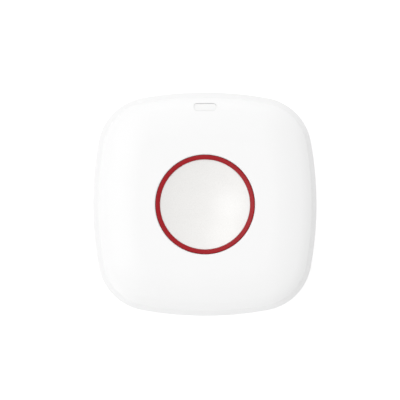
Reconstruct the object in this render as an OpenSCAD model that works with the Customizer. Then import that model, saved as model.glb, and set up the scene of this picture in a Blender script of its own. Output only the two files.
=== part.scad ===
// Wireless panic button: a bowed square case with a dished push button inside a red ring.
// The case lies on its mounting plate with its front face up. +Z points out of the front face,
// +Y points to the status window, and the origin is the middle of the plate's back face.

/* [Outline] */
// Width and height of the case, across its bowed sides
body_w = 60; // [56:0.5:70]
// Radius of the bow along each side
side_r = 93.7; // [75:0.1:150]
// Radius of each corner
corner_r = 14.4; // [13:0.1:17]

/* [Heights] */
// Height from the wall to the flat of the front face
body_h = 18; // [17:0.1:21]
// Height of the seam between the two shells
seam_z = 7.4; // [6.6:0.1:8]
// Height of the rear rim over the back of the mounting plate
rim_lift = 0.4; // [0.1:0.05:0.8]

/* [Front cover] */
// Wall of the front cover
cover_wall = 1.8; // [1.4:0.1:2.2]
// Width of the sloping band round the edge, seen from the front
band_w = 1.5; // [0.6:0.1:2]
// Height of the upright lip below the band
band_lip = 1; // [0.5:0.1:2]
// Radius of the shoulder above the band
shoulder_r = 7; // [5:0.1:9]
// Slope of the shoulder where it meets the band, in degrees
shoulder_slope = 45; // [35:1:60]
// Radius of the crown between the shoulder and the flat
crown_r = 26; // [20:0.5:30]
// Slope where the crown meets the shoulder, in degrees
crown_slope = 18; // [12:0.5:22]
// Chamfer on each side of the seam
seam_chamfer = 0.3; // [0.1:0.05:0.5]

/* [Rear housing] */
// Wall between the inside and the mounting plate
rear_wall = 1.6; // [1.2:0.1:2]
// How far the sides draw in from the seam to the rear edge
rear_draft = 1; // [0.4:0.1:2]
// Radius of the rear edge
rear_edge_r = 1.6; // [0.8:0.1:2.2]
// Height of the tongue that locates the front cover
tongue_h = 1.4; // [0.8:0.1:2]
// Thickness of the tongue
tongue_t = 0.9; // [0.7:0.1:1.2]
// Gap between the tongue and the front cover
tongue_gap = 0.12; // [0.05:0.01:0.2]

/* [Case screws] */
// Distance of each screw from the corner's outermost point
post_inset = 6.6; // [6:0.1:7.4]
// Radius of the posts that take the screws
post_r = 2.6; // [2.3:0.1:3]
// Radius of the screw's shank
case_screw_r = 1; // [0.8:0.05:1.2]
// Length of the screw's shank
case_screw_len = 9; // [7:0.5:10]
// Radius of the screw's head
case_head_r = 1.9; // [1.6:0.05:2]
// Height of the screw's head
case_head_h = 1.3; // [1:0.1:1.6]
// Depth of the screw's seat below the rear rim
head_recess = 1.8; // [1.6:0.1:2.2]

/* [Button] */
// Radius of the round opening in the front cover
aperture_r = 13.45; // [12.6:0.05:14]
// Gap between the red ring and the opening
button_gap = 0.2; // [0.1:0.05:0.3]
// Width of the red ring, seen from the front
ring_w = 1.2; // [0.8:0.1:2]
// Drop from the front face to the top of the ring
ring_drop = 0.2; // [0:0.05:0.5]
// Drop from the top of the ring to the edge of the cap
cap_drop = 0.4; // [0.2:0.05:0.6]
// Depth of the dish in the cap
dish_depth = 2.2; // [1.4:0.1:2.4]
// Depth of the ring-shaped relief under the cap's thick edge
cap_relief = 0.8; // [0.4:0.1:1.2]
// Width of that relief
cap_relief_w = 3; // [2:0.1:4]
// Wall of the cap outside that relief
cap_wall = 1.2; // [0.8:0.1:1.6]
// How far the ring's flange reaches out under the cover
flange_w = 1.15; // [0.8:0.05:1.4]
// Thickness of the ring's flange
flange_t = 1.7; // [1.2:0.1:1.9]
// Thickness of the carrier below the ring and the cap
carrier_t = 0.9; // [0.8:0.1:1.4]
// Radius of the holes that lighten the carrier
carrier_hole_r = 1.8; // [1:0.1:2.2]
// Gap between the carrier and the collar that guides it
guide_gap = 0.3; // [0.15:0.05:0.4]
// Wall of the guide collar
collar_t = 1.3; // [1.1:0.1:1.6]
// Width of the carrier's keys, which stop it turning
key_w = 2.8; // [2:0.1:4]
// How far the keys reach into the collar's slots
key_reach = 0.8; // [0.5:0.1:1]
// Bevel on the edges of the ring and the opening
edge_break = 0.2; // [0.1:0.05:0.3]
// Travel of the button
press_travel = 1; // [0.5:0.05:1.1]

/* [Switch and spring] */
// Side of the switch's square base
switch_w = 6.2; // [5:0.1:8]
// Height of the switch's base
switch_h = 1.7; // [1.6:0.05:1.9]
// Thickness of the metal frame over the switch
frame_t = 0.25; // [0.15:0.05:0.35]
// Radius of the switch's stem
stem_r = 1.7; // [1.4:0.05:2]
// Height of the stem over the frame
stem_out = 0.3; // [0.2:0.05:0.5]
// How far the stem's foot reaches out below the frame
stem_foot = 0.45; // [0.3:0.05:0.6]
// Thickness of the stem's foot
stem_foot_t = 0.25; // [0.15:0.05:0.3]
// Thickness of the snap dome under the stem
dome_t = 0.1; // [0.08:0.01:0.15]
// Length of the switch's terminals
terminal_len = 1.1; // [0.6:0.1:1.6]
// Width of the switch's terminals
terminal_w = 0.7; // [0.4:0.1:1]
// Thickness of the switch's terminals
terminal_t = 0.2; // [0.1:0.05:0.3]
// Radius of the return spring, at the middle of its wire
spring_r = 8; // [6:0.1:10]
// Diameter of the spring's wire
spring_wire = 0.5; // [0.3:0.05:0.6]
// Turns of the return spring
spring_turns = 3.5; // [2:0.5:4]

/* [Circuit board] */
// Gap from the case's outline to the edge of the board
board_inset = 3.8; // [3.4:0.1:5]
// Thickness of the board
board_t = 1.2; // [0.8:0.1:1.4]
// Radius of the screws that hold the board
board_screw_r = 0.8; // [0.6:0.05:1]
// Length of those screws below the board's top
board_screw_len = 4.5; // [3:0.5:5]
// How far the heads of those screws reach past the shank
board_head_w = 0.7; // [0.5:0.05:0.8]
// Height of the heads of those screws
board_head_h = 0.9; // [0.6:0.1:1.2]
// Radius of the standoffs under the board
standoff_r = 1.7; // [1.5:0.1:2]
// Distance of each standoff from the board's edge
standoff_inset = 2.6; // [2.3:0.1:3.2]

/* [Board parts] */
// Length of the radio's metal shield, away from the button
shield_d = 8; // [6:0.1:8.4]
// Width of the radio's metal shield
shield_w = 9; // [6:0.1:9.4]
// Height of the radio's metal shield
shield_h = 1.6; // [1:0.1:2.5]
// Radius of the antenna coil, at the middle of its wire
antenna_r = 2.3; // [1.5:0.1:2.5]
// Diameter of the antenna's wire
antenna_wire = 0.5; // [0.3:0.05:0.6]
// Height of the antenna coil
antenna_h = 4.2; // [3.6:0.1:4.4]
// Turns of the antenna coil
antenna_turns = 4; // [2:0.5:5]
// Side of the square controller chip
controller_w = 5; // [3:0.1:6]
// Height of the controller chip
controller_h = 0.9; // [0.6:0.1:1.2]
// Length of the timing crystal
crystal_l = 3.2; // [2:0.1:4]
// Width of the timing crystal
crystal_w = 2.5; // [1.6:0.1:3]
// Height of the timing crystal
crystal_h = 0.8; // [0.5:0.1:1]
// Length of each chip capacitor and resistor
chip_l = 1.6; // [1:0.1:2]
// Width of each chip capacitor and resistor
chip_w = 0.8; // [0.5:0.1:1.2]
// Height of each chip capacitor
capacitor_h = 0.8; // [0.5:0.1:1.2]
// Height of each chip resistor
resistor_h = 0.5; // [0.3:0.05:0.8]
// Free space between the guide collar and the parts round it
part_gap = 0.8; // [0.5:0.1:1]

/* [Battery] */
// Radius of the coin cell
cell_r = 10; // [8:0.05:10.2]
// Thickness of the coin cell
cell_t = 3.2; // [2.5:0.1:3.3]
// Width of the step round the coin cell's inner pole
cell_step_w = 1.2; // [0.6:0.1:2]
// Height of that step
cell_step_h = 0.5; // [0.2:0.1:0.8]
// Room for the contacts between the cell and the board
contact_h = 0.7; // [0.5:0.05:1]
// Thickness of the contact strips
contact_t = 0.2; // [0.15:0.01:0.3]
// Width of the contact strips
contact_w = 3.4; // [2:0.1:4]
// Length of the contact strips' feet on the board
contact_foot = 3; // [2:0.1:4]
// Length of the sprung arm of the inner contact
contact_arm = 4; // [3:0.1:5]
// Length of the pad at the end of that arm
contact_pad = 1.5; // [1:0.1:2]
// Wall of the door's cup round the cell
door_wall = 0.5; // [0.4:0.05:0.8]
// Thickness of the door's flange
door_flange_t = 0.6; // [0.4:0.05:0.7]
// Thickness of the seal under that flange
seal_t = 0.33; // [0.2:0.01:0.5]
// Thickness of the ledge that the door's lugs lock behind
ledge_t = 1; // [0.7:0.1:1.2]
// How far the door's lugs reach past the bore
lug_reach = 1; // [0.7:0.05:1.3]
// Height of the door's lugs
lug_h = 0.8; // [0.6:0.05:1]
// Arc of each lug, in degrees
lug_angle = 24; // [15:1:30]
// Length of the door's coin slot
coin_slot_l = 14; // [10:0.5:18]
// Width of the door's coin slot
coin_slot_w = 2; // [1.6:0.1:2.4]
// Depth of the door's coin slot
coin_slot_depth = 0.9; // [0.5:0.1:1]
// Wall round the battery bay
bay_wall = 1.2; // [0.8:0.1:1.6]
// Height of that wall over the door's lugs
bay_over = 1.6; // [1:0.1:2]
// Turn that opens the door, in degrees
door_turn = 40; // [30:1:50]

/* [Mounting plate] */
// Thickness of the mounting plate
plate_t = 2.4; // [2.2:0.1:2.7]
// Land between the plate's recess and the screw heads
plate_land = 2; // [1.4:0.1:3]
// Free space round the battery door in the middle of the plate
plate_hole_gap = 0.8; // [0.4:0.1:1.2]
// Distance between the two wall screws
wall_spacing = 37; // [34:0.5:40]
// Radius of the wall screw holes
wall_hole_r = 2.1; // [1.6:0.05:2.4]
// Radius of the countersink for the wall screws
wall_sink_r = 3.5; // [3:0.1:3.8]
// Depth of the straight part of the wall screw holes
wall_hole_depth = 1; // [0.6:0.1:1.2]
// Distance of the hooks from the plate's edge
hook_inset = 3.4; // [3:0.1:4]
// Thickness of the hooks' necks
hook_neck = 1.2; // [1:0.1:1.5]
// Width of the hooks' heads
hook_head = 2.4; // [2:0.1:2.8]
// Height of the hooks' heads
hook_head_h = 1; // [0.7:0.1:1.4]
// Arc of each hook, in degrees
hook_arc = 9; // [6:0.5:12]
// Turn that releases the plate, in degrees
plate_turn = 20; // [14:1:24]

/* [Status window] */
// Width of the window
window_w = 6; // [4:0.1:8]
// Height of the window, towards the button
window_h = 2; // [1.6:0.1:2.6]
// Distance of the window's middle from the case's edge
window_inset = 4; // [3.7:0.1:4.6]
// Radius of the window's corners
window_r = 0.85; // [0.4:0.05:1]
// Depth of the window below the cover's surface
window_recess = 0.3; // [0.1:0.05:0.5]
// Length of the light source below the window
led_l = 2; // [1:0.1:3]
// Width of that light source
led_w = 1.2; // [0.6:0.1:1.4]
// Height of that light source
led_h = 0.8; // [0.4:0.1:1]
// Distance of the light source from the board's edge
led_inset = 1.3; // [1:0.1:1.6]
// Height of the light pipe's foot
pipe_foot_h = 1.6; // [1:0.1:2]
// Width of the legs that stand the light pipe on the board
pipe_leg_w = 0.9; // [0.6:0.1:1.2]

/* [Hidden] */

$fn = 96;
fine_fn = 256;        // facets on a very large circle
hull_fn = 32;         // facets on the corners of a rounded box
side_steps = 6;       // facets along each bowed side
corner_steps = 10;    // facets round each corner
arc_steps = 4;        // facets along each arc of a shell's section
wire_sides = 6;       // sides of a wound wire
wire_rings = 12;      // rings in one turn of a wound wire

lap = 0.3;            // how deep one shape of a solid runs into the next
through = 5;          // spare length of a cut that goes right through
touch = 0.02;         // gap between pieces that bear on each other
fit_gap = 0.05;       // gap at a close seat
turn_gap = 0.2;       // gap round a piece that turns
clear_gap = 0.3;      // gap between pieces that pass each other

// Outline: four bowed sides, each an arc about a point on an axis, and four corner arcs
half_w = body_w / 2;
side_c = half_w - side_r;
corner_c = (side_c + sqrt(2 * pow(side_r - corner_r, 2) - side_c * side_c)) / 2;
side_angle = atan2(corner_c, corner_c - side_c);
diag_reach = corner_c * sqrt(2) + corner_r;

// Levels, from the wall up
rear_out_z = plate_t + turn_gap;
floor_z = rear_out_z + rear_wall;
cell_z = floor_z + 2 * fit_gap;
board_z = cell_z + cell_t + contact_h;
board_top = board_z + board_t;
switch_top = board_top + switch_h;
frame_top = switch_top + frame_t;
stem_top = frame_top + stem_out;

// Levels, from the front face down
under_z = body_h - cover_wall;
flange_top = under_z - 2 * fit_gap;
flange_z = flange_top - flange_t;
carrier_z = flange_z - carrier_t;
collar_z = carrier_z - press_travel - clear_gap;
ring_top = body_h - ring_drop;
cap_edge_z = ring_top - cap_drop;

// Section of the front cover: shoulder and crown arcs that follow the outline
crown_drop = shoulder_r * (cos(crown_slope) - cos(shoulder_slope)) + crown_r * (1 - cos(crown_slope));
band_top_z = body_h - crown_drop;
band_foot_z = seam_z + band_lip;
shoulder_c = [band_w + shoulder_r * sin(shoulder_slope), band_top_z - shoulder_r * cos(shoulder_slope)];
crown_join = shoulder_c[0] - shoulder_r * sin(crown_slope);
crown_c = [crown_join + crown_r * sin(crown_slope), body_h - crown_r];

// Button
ring_r = aperture_r - button_gap;
cap_r = ring_r - ring_w;
flange_r = ring_r + flange_w;
collar_in_r = flange_r + guide_gap;
collar_r = collar_in_r + collar_t;
key_angles = [30, 150, 270];
key_slot_w = key_w + 2 * turn_gap;
key_slot_r = collar_in_r + key_reach + turn_gap;
dish_r = (cap_r * cap_r + dish_depth * dish_depth) / (2 * dish_depth);
carrier_hole_d = (spring_r + flange_r) / 2;

// Switch: a round well in the base takes the dome and the stem's foot
stem_gap = turn_gap - fit_gap;
stem_foot_r = stem_r + stem_foot;
stem_foot_z = switch_top - stem_foot_t - touch;
well_r = stem_foot_r + stem_gap;
well_floor = stem_foot_z - press_travel - touch;
pusher_r = stem_r - turn_gap;

// Battery door and bay
door_cup_r = cell_r + turn_gap + door_wall;
door_bore_r = door_cup_r + turn_gap;
lug_r = door_bore_r + lug_reach;
door_flange_r = lug_r + clear_gap;
door_sink_r = door_flange_r + turn_gap;
bay_in_r = lug_r + clear_gap;
bay_r = bay_in_r + bay_wall;
door_z = rear_out_z + fit_gap;
seal_z = door_z + door_flange_t;
ledge_z = seal_z + seal_t + touch;
ledge_top = ledge_z + ledge_t;
lug_z = ledge_top + fit_gap;
door_top = lug_z + lug_h;
bay_top = door_top + bay_over;
lug_angles = [0, 120, 240];
lug_spare = 3;

// Case screws
post_d = diag_reach - post_inset;
post_xy = post_d / sqrt(2);
head_seat_z = rim_lift + head_recess;
head_bore_r = case_head_r + clear_gap;
boss_top = cover_z(post_inset - post_r) - cover_wall / 4;
screw_slack = 0.15;

// Mounting plate
plate_r = post_d - head_bore_r - plate_land - turn_gap;
plate_hole_r = door_sink_r + plate_hole_gap;
hook_r = plate_r - hook_inset;
hook_z = floor_z + 2 * fit_gap;
hook_angles = [30, 150, 270];
hook_spare = 1;

// Circuit board and the angles of its parts
board_r = half_w - board_inset;
standoff_angles = [70, 190, 310];
shield_angle = 160;
controller_angle = 245;
crystal_angle = 265;
capacitor_angles = [280:7:315];
resistor_angles = [100:7:135];
part_d = collar_r + part_gap;

// Status window, tilted with the cover's surface
window_y = half_w - window_inset;
window_z = cover_z(window_inset) - window_recess;
window_tilt = cover_slope(window_inset);
led_y = board_r - led_inset;
pipe_w = window_w - 4 * fit_gap;
pipe_h = window_h - 4 * fit_gap;
pipe_foot_z = board_top + led_h + clear_gap;

// Height of the cover's outer surface at a distance in from the outline
function cover_z(inset) =
    inset >= crown_c[0] ? body_h
    : inset >= crown_join ? crown_c[1] + sqrt(pow(crown_r, 2) - pow(crown_c[0] - inset, 2))
    : shoulder_c[1] + sqrt(pow(shoulder_r, 2) - pow(shoulder_c[0] - inset, 2));

// Slope of that surface, in degrees
function cover_slope(inset) =
    inset >= crown_join ? asin((crown_c[0] - inset) / crown_r) : asin((shoulder_c[0] - inset) / shoulder_r);

// Points of an arc in a section, from one slope to another, about centre c
function section_arc(c, r, from, to) =
    [for (i = [0:arc_steps]) let (s = from + (to - from) * i / arc_steps) c + r * [-sin(s), cos(s)]];

// A section without points that repeat the one before
function distinct(p) = [for (i = [0:len(p) - 1]) if (i == 0 || norm(p[i] - p[i - 1]) > touch) p[i]];

// One closed ring of the outline, drawn in by inset and set at height z
function outline_ring(inset, z) = [
    for (quarter = [0:3])
        each [for (p = concat(
            [for (i = [0:side_steps - 1]) let (a = side_angle * (2 * i / side_steps - 1))
                [side_c, 0] + (side_r - inset) * [cos(a), sin(a)]],
            [for (i = [0:corner_steps - 1]) let (a = side_angle + (90 - 2 * side_angle) * i / corner_steps)
                [corner_c, corner_c] + (corner_r - inset) * [cos(a), sin(a)]]
        )) let (t = 90 * quarter) [p[0] * cos(t) - p[1] * sin(t), p[0] * sin(t) + p[1] * cos(t), z]]
];

// A closed skin over equal rings, with its two end rings filled in
module ring_skin(rings) {
    n = len(rings[0]);
    last = len(rings) - 1;
    polyhedron(
        points = [for (r = rings) each r],
        faces = concat(
            [[for (i = [0:n - 1]) i]],
            [for (j = [0:last - 1]) for (i = [0:n - 1]) let (a = j * n + i, b = j * n + (i + 1) % n)
                each [[a, a + n, b + n], [a, b + n, b]]],
            [[for (i = [n - 1:-1:0]) last * n + i]]
        )
    );
}

// A shell that carries a section of [inset, z] points round the outline
module outline_shell(section) {
    ring_skin([for (p = distinct(section)) outline_ring(p[0], p[1])]);
}

// A wound wire of the given coil radius between two heights
module wound_wire(coil_r, wire, turns, low, high) {
    steps = ceil(turns * wire_rings);
    rise = high - low - wire;
    ring_skin([for (j = [steps:-1:0]) let (a = 360 * turns * j / steps, z = low + wire / 2 + rise * j / steps)
        [for (i = [0:wire_sides - 1]) let (s = 360 * i / wire_sides, r = coil_r + wire / 2 * cos(s))
            [r * cos(a), r * sin(a), z + wire / 2 * sin(s)]]]);
}

// A cylinder between two heights
module column(r, z_low, z_high) {
    translate([0, 0, z_low])
        cylinder(r = r, h = z_high - z_low);
}

// A ring, or an arc of one that is centred on angle mid, between two radii and two heights
module ring_block(r_in, r_out, z_low, z_high, mid = 180, arc = 360) {
    rotate_extrude(angle = arc, start = mid - arc / 2)
        translate([r_in, z_low])
            square([r_out - r_in, z_high - z_low]);
}

// A box that is centred on x and y and stands at height z
module standing_box(size, z) {
    translate([-size[0] / 2, -size[1] / 2, z])
        cube(size);
}

// A box with four round upright edges, centred on x and y
module round_box(w, h, r, z_low, z_high) {
    hull()
        for (x = [-1, 1], y = [-1, 1])
            translate([x * (w / 2 - r), y * (h / 2 - r), z_low])
                cylinder(r = r, h = z_high - z_low, $fn = hull_fn);
}

// A pan-head screw with a cross recess, its head above its seat, or below it if head_down
module pan_screw(shank_r, shank_len, head_r, head_h, seat_z, head_down = false) {
    recess = [3 * shank_r, 0.9 * shank_r, 1.1 * head_h];
    translate([0, 0, seat_z])
        mirror([0, 0, head_down ? 1 : 0])
            difference() {
                union() {
                    column(head_r, 0, head_h);
                    column(shank_r, -shank_len, lap);
                }
                for (a = [0, 90])
                    rotate(a)
                        translate([0, 0, head_h])
                            cube(recess, center = true);
            }
}

// A metal strip bent in the x-z plane, given the points of its two faces
module bent_strip(upper, lower) {
    rotate([90, 0, 0])
        translate([0, 0, -contact_w / 2])
            linear_extrude(height = contact_w)
                polygon(concat(upper, lower));
}

// Places its children at the four case screws
module at_posts() {
    for (x = [-1, 1], y = [-1, 1])
        translate([x * post_xy, y * post_xy, 0])
            children();
}

// Places its children at an angle and a distance from the middle of the board
module on_board(angle, distance) {
    rotate(angle)
        translate([distance, 0, 0])
            children();
}

// Places its children at the board's screws
module at_standoffs() {
    for (a = standoff_angles)
        on_board(a, board_r - standoff_inset)
            children();
}

module front_cover() {
    inner = concat(
        section_arc(crown_c, crown_r - cover_wall, 0, crown_slope),
        section_arc(shoulder_c, shoulder_r - cover_wall, crown_slope, shoulder_slope),
        [[cover_wall, band_foot_z], [cover_wall, seam_z]]
    );
    outer = concat(
        [[seam_chamfer, seam_z], [0, seam_z + seam_chamfer], [0, band_foot_z]],
        section_arc(shoulder_c, shoulder_r, shoulder_slope, crown_slope),
        section_arc(crown_c, crown_r, crown_slope, 0)
    );
    color("white")
        difference() {
            union() {
                outline_shell(concat(inner, outer));
                ring_block(collar_in_r, collar_r, collar_z, under_z + lap);
                at_posts()
                    column(post_r, seam_z, boss_top);
            }
            // round opening with its front edge broken
            rotate_extrude()
                polygon([
                    [0, under_z - lap], [aperture_r, under_z - lap], [aperture_r, body_h - edge_break],
                    [aperture_r + edge_break + through, body_h + through], [0, body_h + through]
                ]);
            // slots that guide the carrier's keys
            for (a = key_angles)
                rotate(a)
                    translate([0, -key_slot_w / 2, collar_z - through])
                        cube([key_slot_r, key_slot_w, flange_z - collar_z + through + lap]);
            at_posts()
                column(case_screw_r + touch, seam_z - through, head_seat_z + case_screw_len + clear_gap);
            translate([0, window_y, 0])
                round_box(window_w, window_h, window_r, under_z - through, body_h + through);
        }
}

module rear_housing() {
    edge_c = [rear_draft + rear_edge_r, rim_lift + rear_edge_r];
    tongue_out = cover_wall + tongue_gap;
    tongue_in = tongue_out + tongue_t;
    section = concat(
        [for (i = [0:arc_steps]) let (s = 90 * i / arc_steps) edge_c - rear_edge_r * [sin(s), cos(s)]],
        [[0, seam_z - band_lip], [0, seam_z - seam_chamfer], [seam_chamfer, seam_z]],
        [[tongue_out, seam_z], [tongue_out, seam_z + tongue_h], [tongue_in, seam_z + tongue_h]],
        [[tongue_in, floor_z]]
    );
    color("white")
        difference() {
            union() {
                outline_shell(section);
                column(bay_r, floor_z - lap, ledge_top);
                ring_block(bay_in_r, bay_r, floor_z - lap, bay_top);
                at_posts()
                    column(post_r, floor_z - lap, seam_z);
                at_standoffs()
                    column(standoff_r, floor_z - lap, board_z);
            }
            // recess for the mounting plate
            column(plate_r + turn_gap, -through, rear_out_z);
            // battery door: sunk seat, bore, and a way in for each lug
            column(door_sink_r, -through, ledge_z);
            column(door_bore_r, -through, ledge_top + through);
            for (a = lug_angles)
                ring_block(door_bore_r - lap, lug_r + turn_gap, rear_out_z, ledge_top + lap,
                    a - door_turn, lug_angle + 2 * lug_spare);
            // slots for the plate's hooks, each with a wide end that lets the head through
            for (a = hook_angles) {
                ring_block(hook_r - turn_gap, hook_r + hook_neck + turn_gap, rear_out_z - lap, floor_z + lap,
                    a - plate_turn / 2, hook_arc + plate_turn + 2 * hook_spare);
                ring_block(hook_r - turn_gap, hook_r + hook_head + turn_gap, rear_out_z - lap, floor_z + lap,
                    a - plate_turn, hook_arc + 2 * hook_spare);
            }
            at_posts() {
                column(head_bore_r, -through, head_seat_z);
                column(case_screw_r + screw_slack, 0, seam_z + through);
            }
            at_standoffs()
                column(board_screw_r + touch, board_top - board_screw_len - clear_gap, board_top);
        }
}

module case_screws() {
    color("silver")
        at_posts()
            pan_screw(case_screw_r, case_screw_len, case_head_r, case_head_h, head_seat_z, head_down = true);
}

module mounting_plate() {
    color("white")
        difference() {
            union() {
                column(plate_r, 0, plate_t);
                for (a = hook_angles) {
                    ring_block(hook_r, hook_r + hook_neck, plate_t - lap, hook_z + hook_head_h, a, hook_arc);
                    ring_block(hook_r, hook_r + hook_head, hook_z, hook_z + hook_head_h, a, hook_arc);
                }
            }
            column(plate_hole_r, -through, plate_t + through);
            for (x = [-1, 1])
                translate([x * wall_spacing / 2, 0, 0]) {
                    column(wall_hole_r, -through, plate_t + through);
                    translate([0, 0, wall_hole_depth])
                        cylinder(r1 = wall_hole_r, r2 = wall_sink_r, h = plate_t - wall_hole_depth);
                }
        }
}

module battery_door() {
    color("white")
        difference() {
            union() {
                column(door_flange_r, door_z, seal_z);
                column(door_cup_r, door_z, door_top);
                for (a = lug_angles)
                    ring_block(door_cup_r - lap, lug_r, lug_z, door_top, a, lug_angle);
            }
            column(door_cup_r - door_wall, cell_z - touch, door_top + through);
            standing_box([coin_slot_l, coin_slot_w, 2 * coin_slot_depth], door_z - coin_slot_depth);
        }
}

module door_seal() {
    color("dimgray")
        ring_block(door_cup_r + fit_gap, door_flange_r - fit_gap, seal_z, seal_z + seal_t);
}

module coin_cell() {
    color("silver") {
        column(cell_r, cell_z, cell_z + cell_t - cell_step_h);
        column(cell_r - cell_step_w, cell_z, cell_z + cell_t);
    }
}

module battery_plus_contact() {
    x = cell_r + touch;
    foot_x = x + contact_foot;
    under = board_z - contact_t;
    tip_z = door_top + 2 * fit_gap;
    color("gold")
        bent_strip(
            [[-foot_x, board_z], [-x, board_z], [-x, tip_z]],
            [[-x - contact_t, tip_z], [-x - contact_t, under], [-foot_x, under]]
        );
}

module battery_minus_contact() {
    bend_x = contact_arm / 2;
    foot_x = bend_x + contact_foot;
    pad_x = bend_x + contact_pad;
    low_z = cell_z + cell_t;
    color("gold")
        bent_strip(
            [[-foot_x, board_z], [-bend_x, board_z], [bend_x, low_z + contact_t], [pad_x, low_z + contact_t]],
            [[pad_x, low_z], [bend_x, low_z], [-bend_x, board_z - contact_t], [-foot_x, board_z - contact_t]]
        );
}

module circuit_board() {
    color("darkgreen")
        difference() {
            column(board_r, board_z, board_top);
            at_posts()
                column(post_r + clear_gap, board_z - through, board_top + through);
            at_standoffs()
                column(board_screw_r + screw_slack, board_z - through, board_top + through);
        }
}

module board_screws() {
    color("silver")
        at_standoffs()
            pan_screw(board_screw_r, board_screw_len, board_screw_r + board_head_w, board_head_h, board_top);
}

module switch_base() {
    color("dimgray")
        difference() {
            standing_box([switch_w, switch_w, switch_h], board_top);
            column(well_r, well_floor, switch_top + through);
        }
}

module switch_terminals() {
    color("silver")
        for (x = [-1, 1], y = [-1, 1])
            translate([x * (switch_w + terminal_len) / 2, y * switch_w / 4, 0])
                standing_box([terminal_len, terminal_w, terminal_t], board_top);
}

module switch_dome() {
    dome_r = well_r - stem_gap;
    rise = stem_foot_z - well_floor - touch;
    big_r = (dome_r * dome_r + rise * rise) / (2 * rise);
    color("gold")
        translate([0, 0, well_floor])
            rotate_extrude()
                intersection() {
                    square([dome_r, rise]);
                    translate([0, rise - big_r])
                        difference() {
                            circle(r = big_r);
                            circle(r = big_r - dome_t);
                        }
                }
}

module switch_stem() {
    color("black") {
        column(stem_foot_r, stem_foot_z, stem_foot_z + stem_foot_t);
        column(stem_r, stem_foot_z, stem_top);
    }
}

module switch_frame() {
    color("silver")
        difference() {
            standing_box([switch_w, switch_w, frame_t], switch_top);
            column(stem_r + stem_gap, switch_top - through, frame_top + through);
        }
}

module return_spring() {
    color("silver")
        wound_wire(spring_r, spring_wire, spring_turns, board_top + touch, carrier_z - touch);
}

module button_carrier() {
    color("whitesmoke")
        difference() {
            union() {
                column(flange_r, carrier_z, flange_z);
                column(pusher_r, stem_top + touch, carrier_z + lap);
                for (a = key_angles)
                    rotate(a)
                        translate([0, -key_w / 2, carrier_z])
                            cube([collar_in_r + key_reach, key_w, carrier_t]);
            }
            for (a = [0:60:300])
                on_board(a, carrier_hole_d)
                    column(carrier_hole_r, carrier_z - through, flange_z + through);
        }
}

module button_ring() {
    color("firebrick")
        rotate_extrude()
            polygon([
                [cap_r, flange_z], [flange_r, flange_z], [flange_r, flange_top], [ring_r, flange_top],
                [ring_r, ring_top - edge_break], [ring_r - edge_break, ring_top],
                [cap_r + edge_break, ring_top], [cap_r, ring_top - edge_break]
            ]);
}

module button_cap() {
    color("white")
        rotate_extrude()
            difference() {
                translate([0, flange_z])
                    square([cap_r - touch, cap_edge_z - flange_z]);
                translate([0, cap_edge_z - dish_depth + dish_r])
                    circle(r = dish_r, $fn = fine_fn);
                translate([cap_r - cap_wall - cap_relief_w, flange_z - through])
                    square([cap_relief_w, cap_relief + through]);
            }
}

module light_pipe() {
    foot_y = led_y - led_w;
    foot_l = window_y + pipe_h / 2 - foot_y;
    color("ivory")
        difference() {
            union() {
                translate([0, window_y, 0])
                    round_box(pipe_w, pipe_h, window_r - 2 * fit_gap, pipe_foot_z, body_h);
                translate([0, foot_y + foot_l / 2, 0])
                    standing_box([pipe_w, foot_l, pipe_foot_h], pipe_foot_z);
                for (x = [-1, 1])
                    translate([x * (pipe_w - pipe_leg_w) / 2, led_y, 0])
                        standing_box([pipe_leg_w, led_w, pipe_foot_z - board_top + lap], board_top);
            }
            // face of the window, tilted with the cover's surface
            translate([0, window_y, window_z])
                rotate([-window_tilt, 0, 0])
                    standing_box([window_w + through, 2 * through, 2 * through], 0);
        }
}

module status_led() {
    color("lightyellow")
        translate([0, led_y, 0])
            standing_box([led_l, led_w, led_h], board_top);
}

module radio_shield() {
    color("silver")
        on_board(shield_angle, part_d + shield_d / 2)
            standing_box([shield_d, shield_w, shield_h], board_top);
}

module antenna_coil() {
    color("goldenrod")
        on_board(0, part_d + antenna_r + antenna_wire)
            wound_wire(antenna_r, antenna_wire, antenna_turns, board_top + touch, board_top + antenna_h);
}

module microcontroller() {
    color("black")
        on_board(controller_angle, part_d + controller_w / 2)
            standing_box([controller_w, controller_w, controller_h], board_top);
}

module timing_crystal() {
    color("silver")
        on_board(crystal_angle, part_d + crystal_l / 2)
            standing_box([crystal_w, crystal_l, crystal_h], board_top);
}

// A row of equal small parts round the guide collar
module chip_row(angles, height) {
    for (a = angles)
        on_board(a, part_d + chip_l)
            standing_box([chip_l, chip_w, height], board_top);
}

module chip_capacitors() {
    color("tan")
        chip_row(capacitor_angles, capacitor_h);
}

module chip_resistors() {
    color("black")
        chip_row(resistor_angles, resistor_h);
}

front_cover();
rear_housing();
case_screws();
mounting_plate();
battery_door();
door_seal();
coin_cell();
battery_plus_contact();
battery_minus_contact();
circuit_board();
board_screws();
switch_base();
switch_terminals();
switch_dome();
switch_stem();
switch_frame();
return_spring();
button_carrier();
button_ring();
button_cap();
light_pipe();
status_led();
radio_shield();
antenna_coil();
microcontroller();
timing_crystal();
chip_capacitors();
chip_resistors();
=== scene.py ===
"""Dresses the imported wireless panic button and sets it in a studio.

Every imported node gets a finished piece: the two shells, the button, the wall plate, the battery
door, and the board, the switch and the battery inside. Sizes are in millimetres and angles in
degrees where nothing else is said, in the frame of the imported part: +Z points out of the front
face and +Y points to the status window. Meshes are turned into metres where they are made.
"""

from __future__ import annotations

import logging
import math
from dataclasses import dataclass
from enum import Enum
from typing import Sequence

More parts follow.
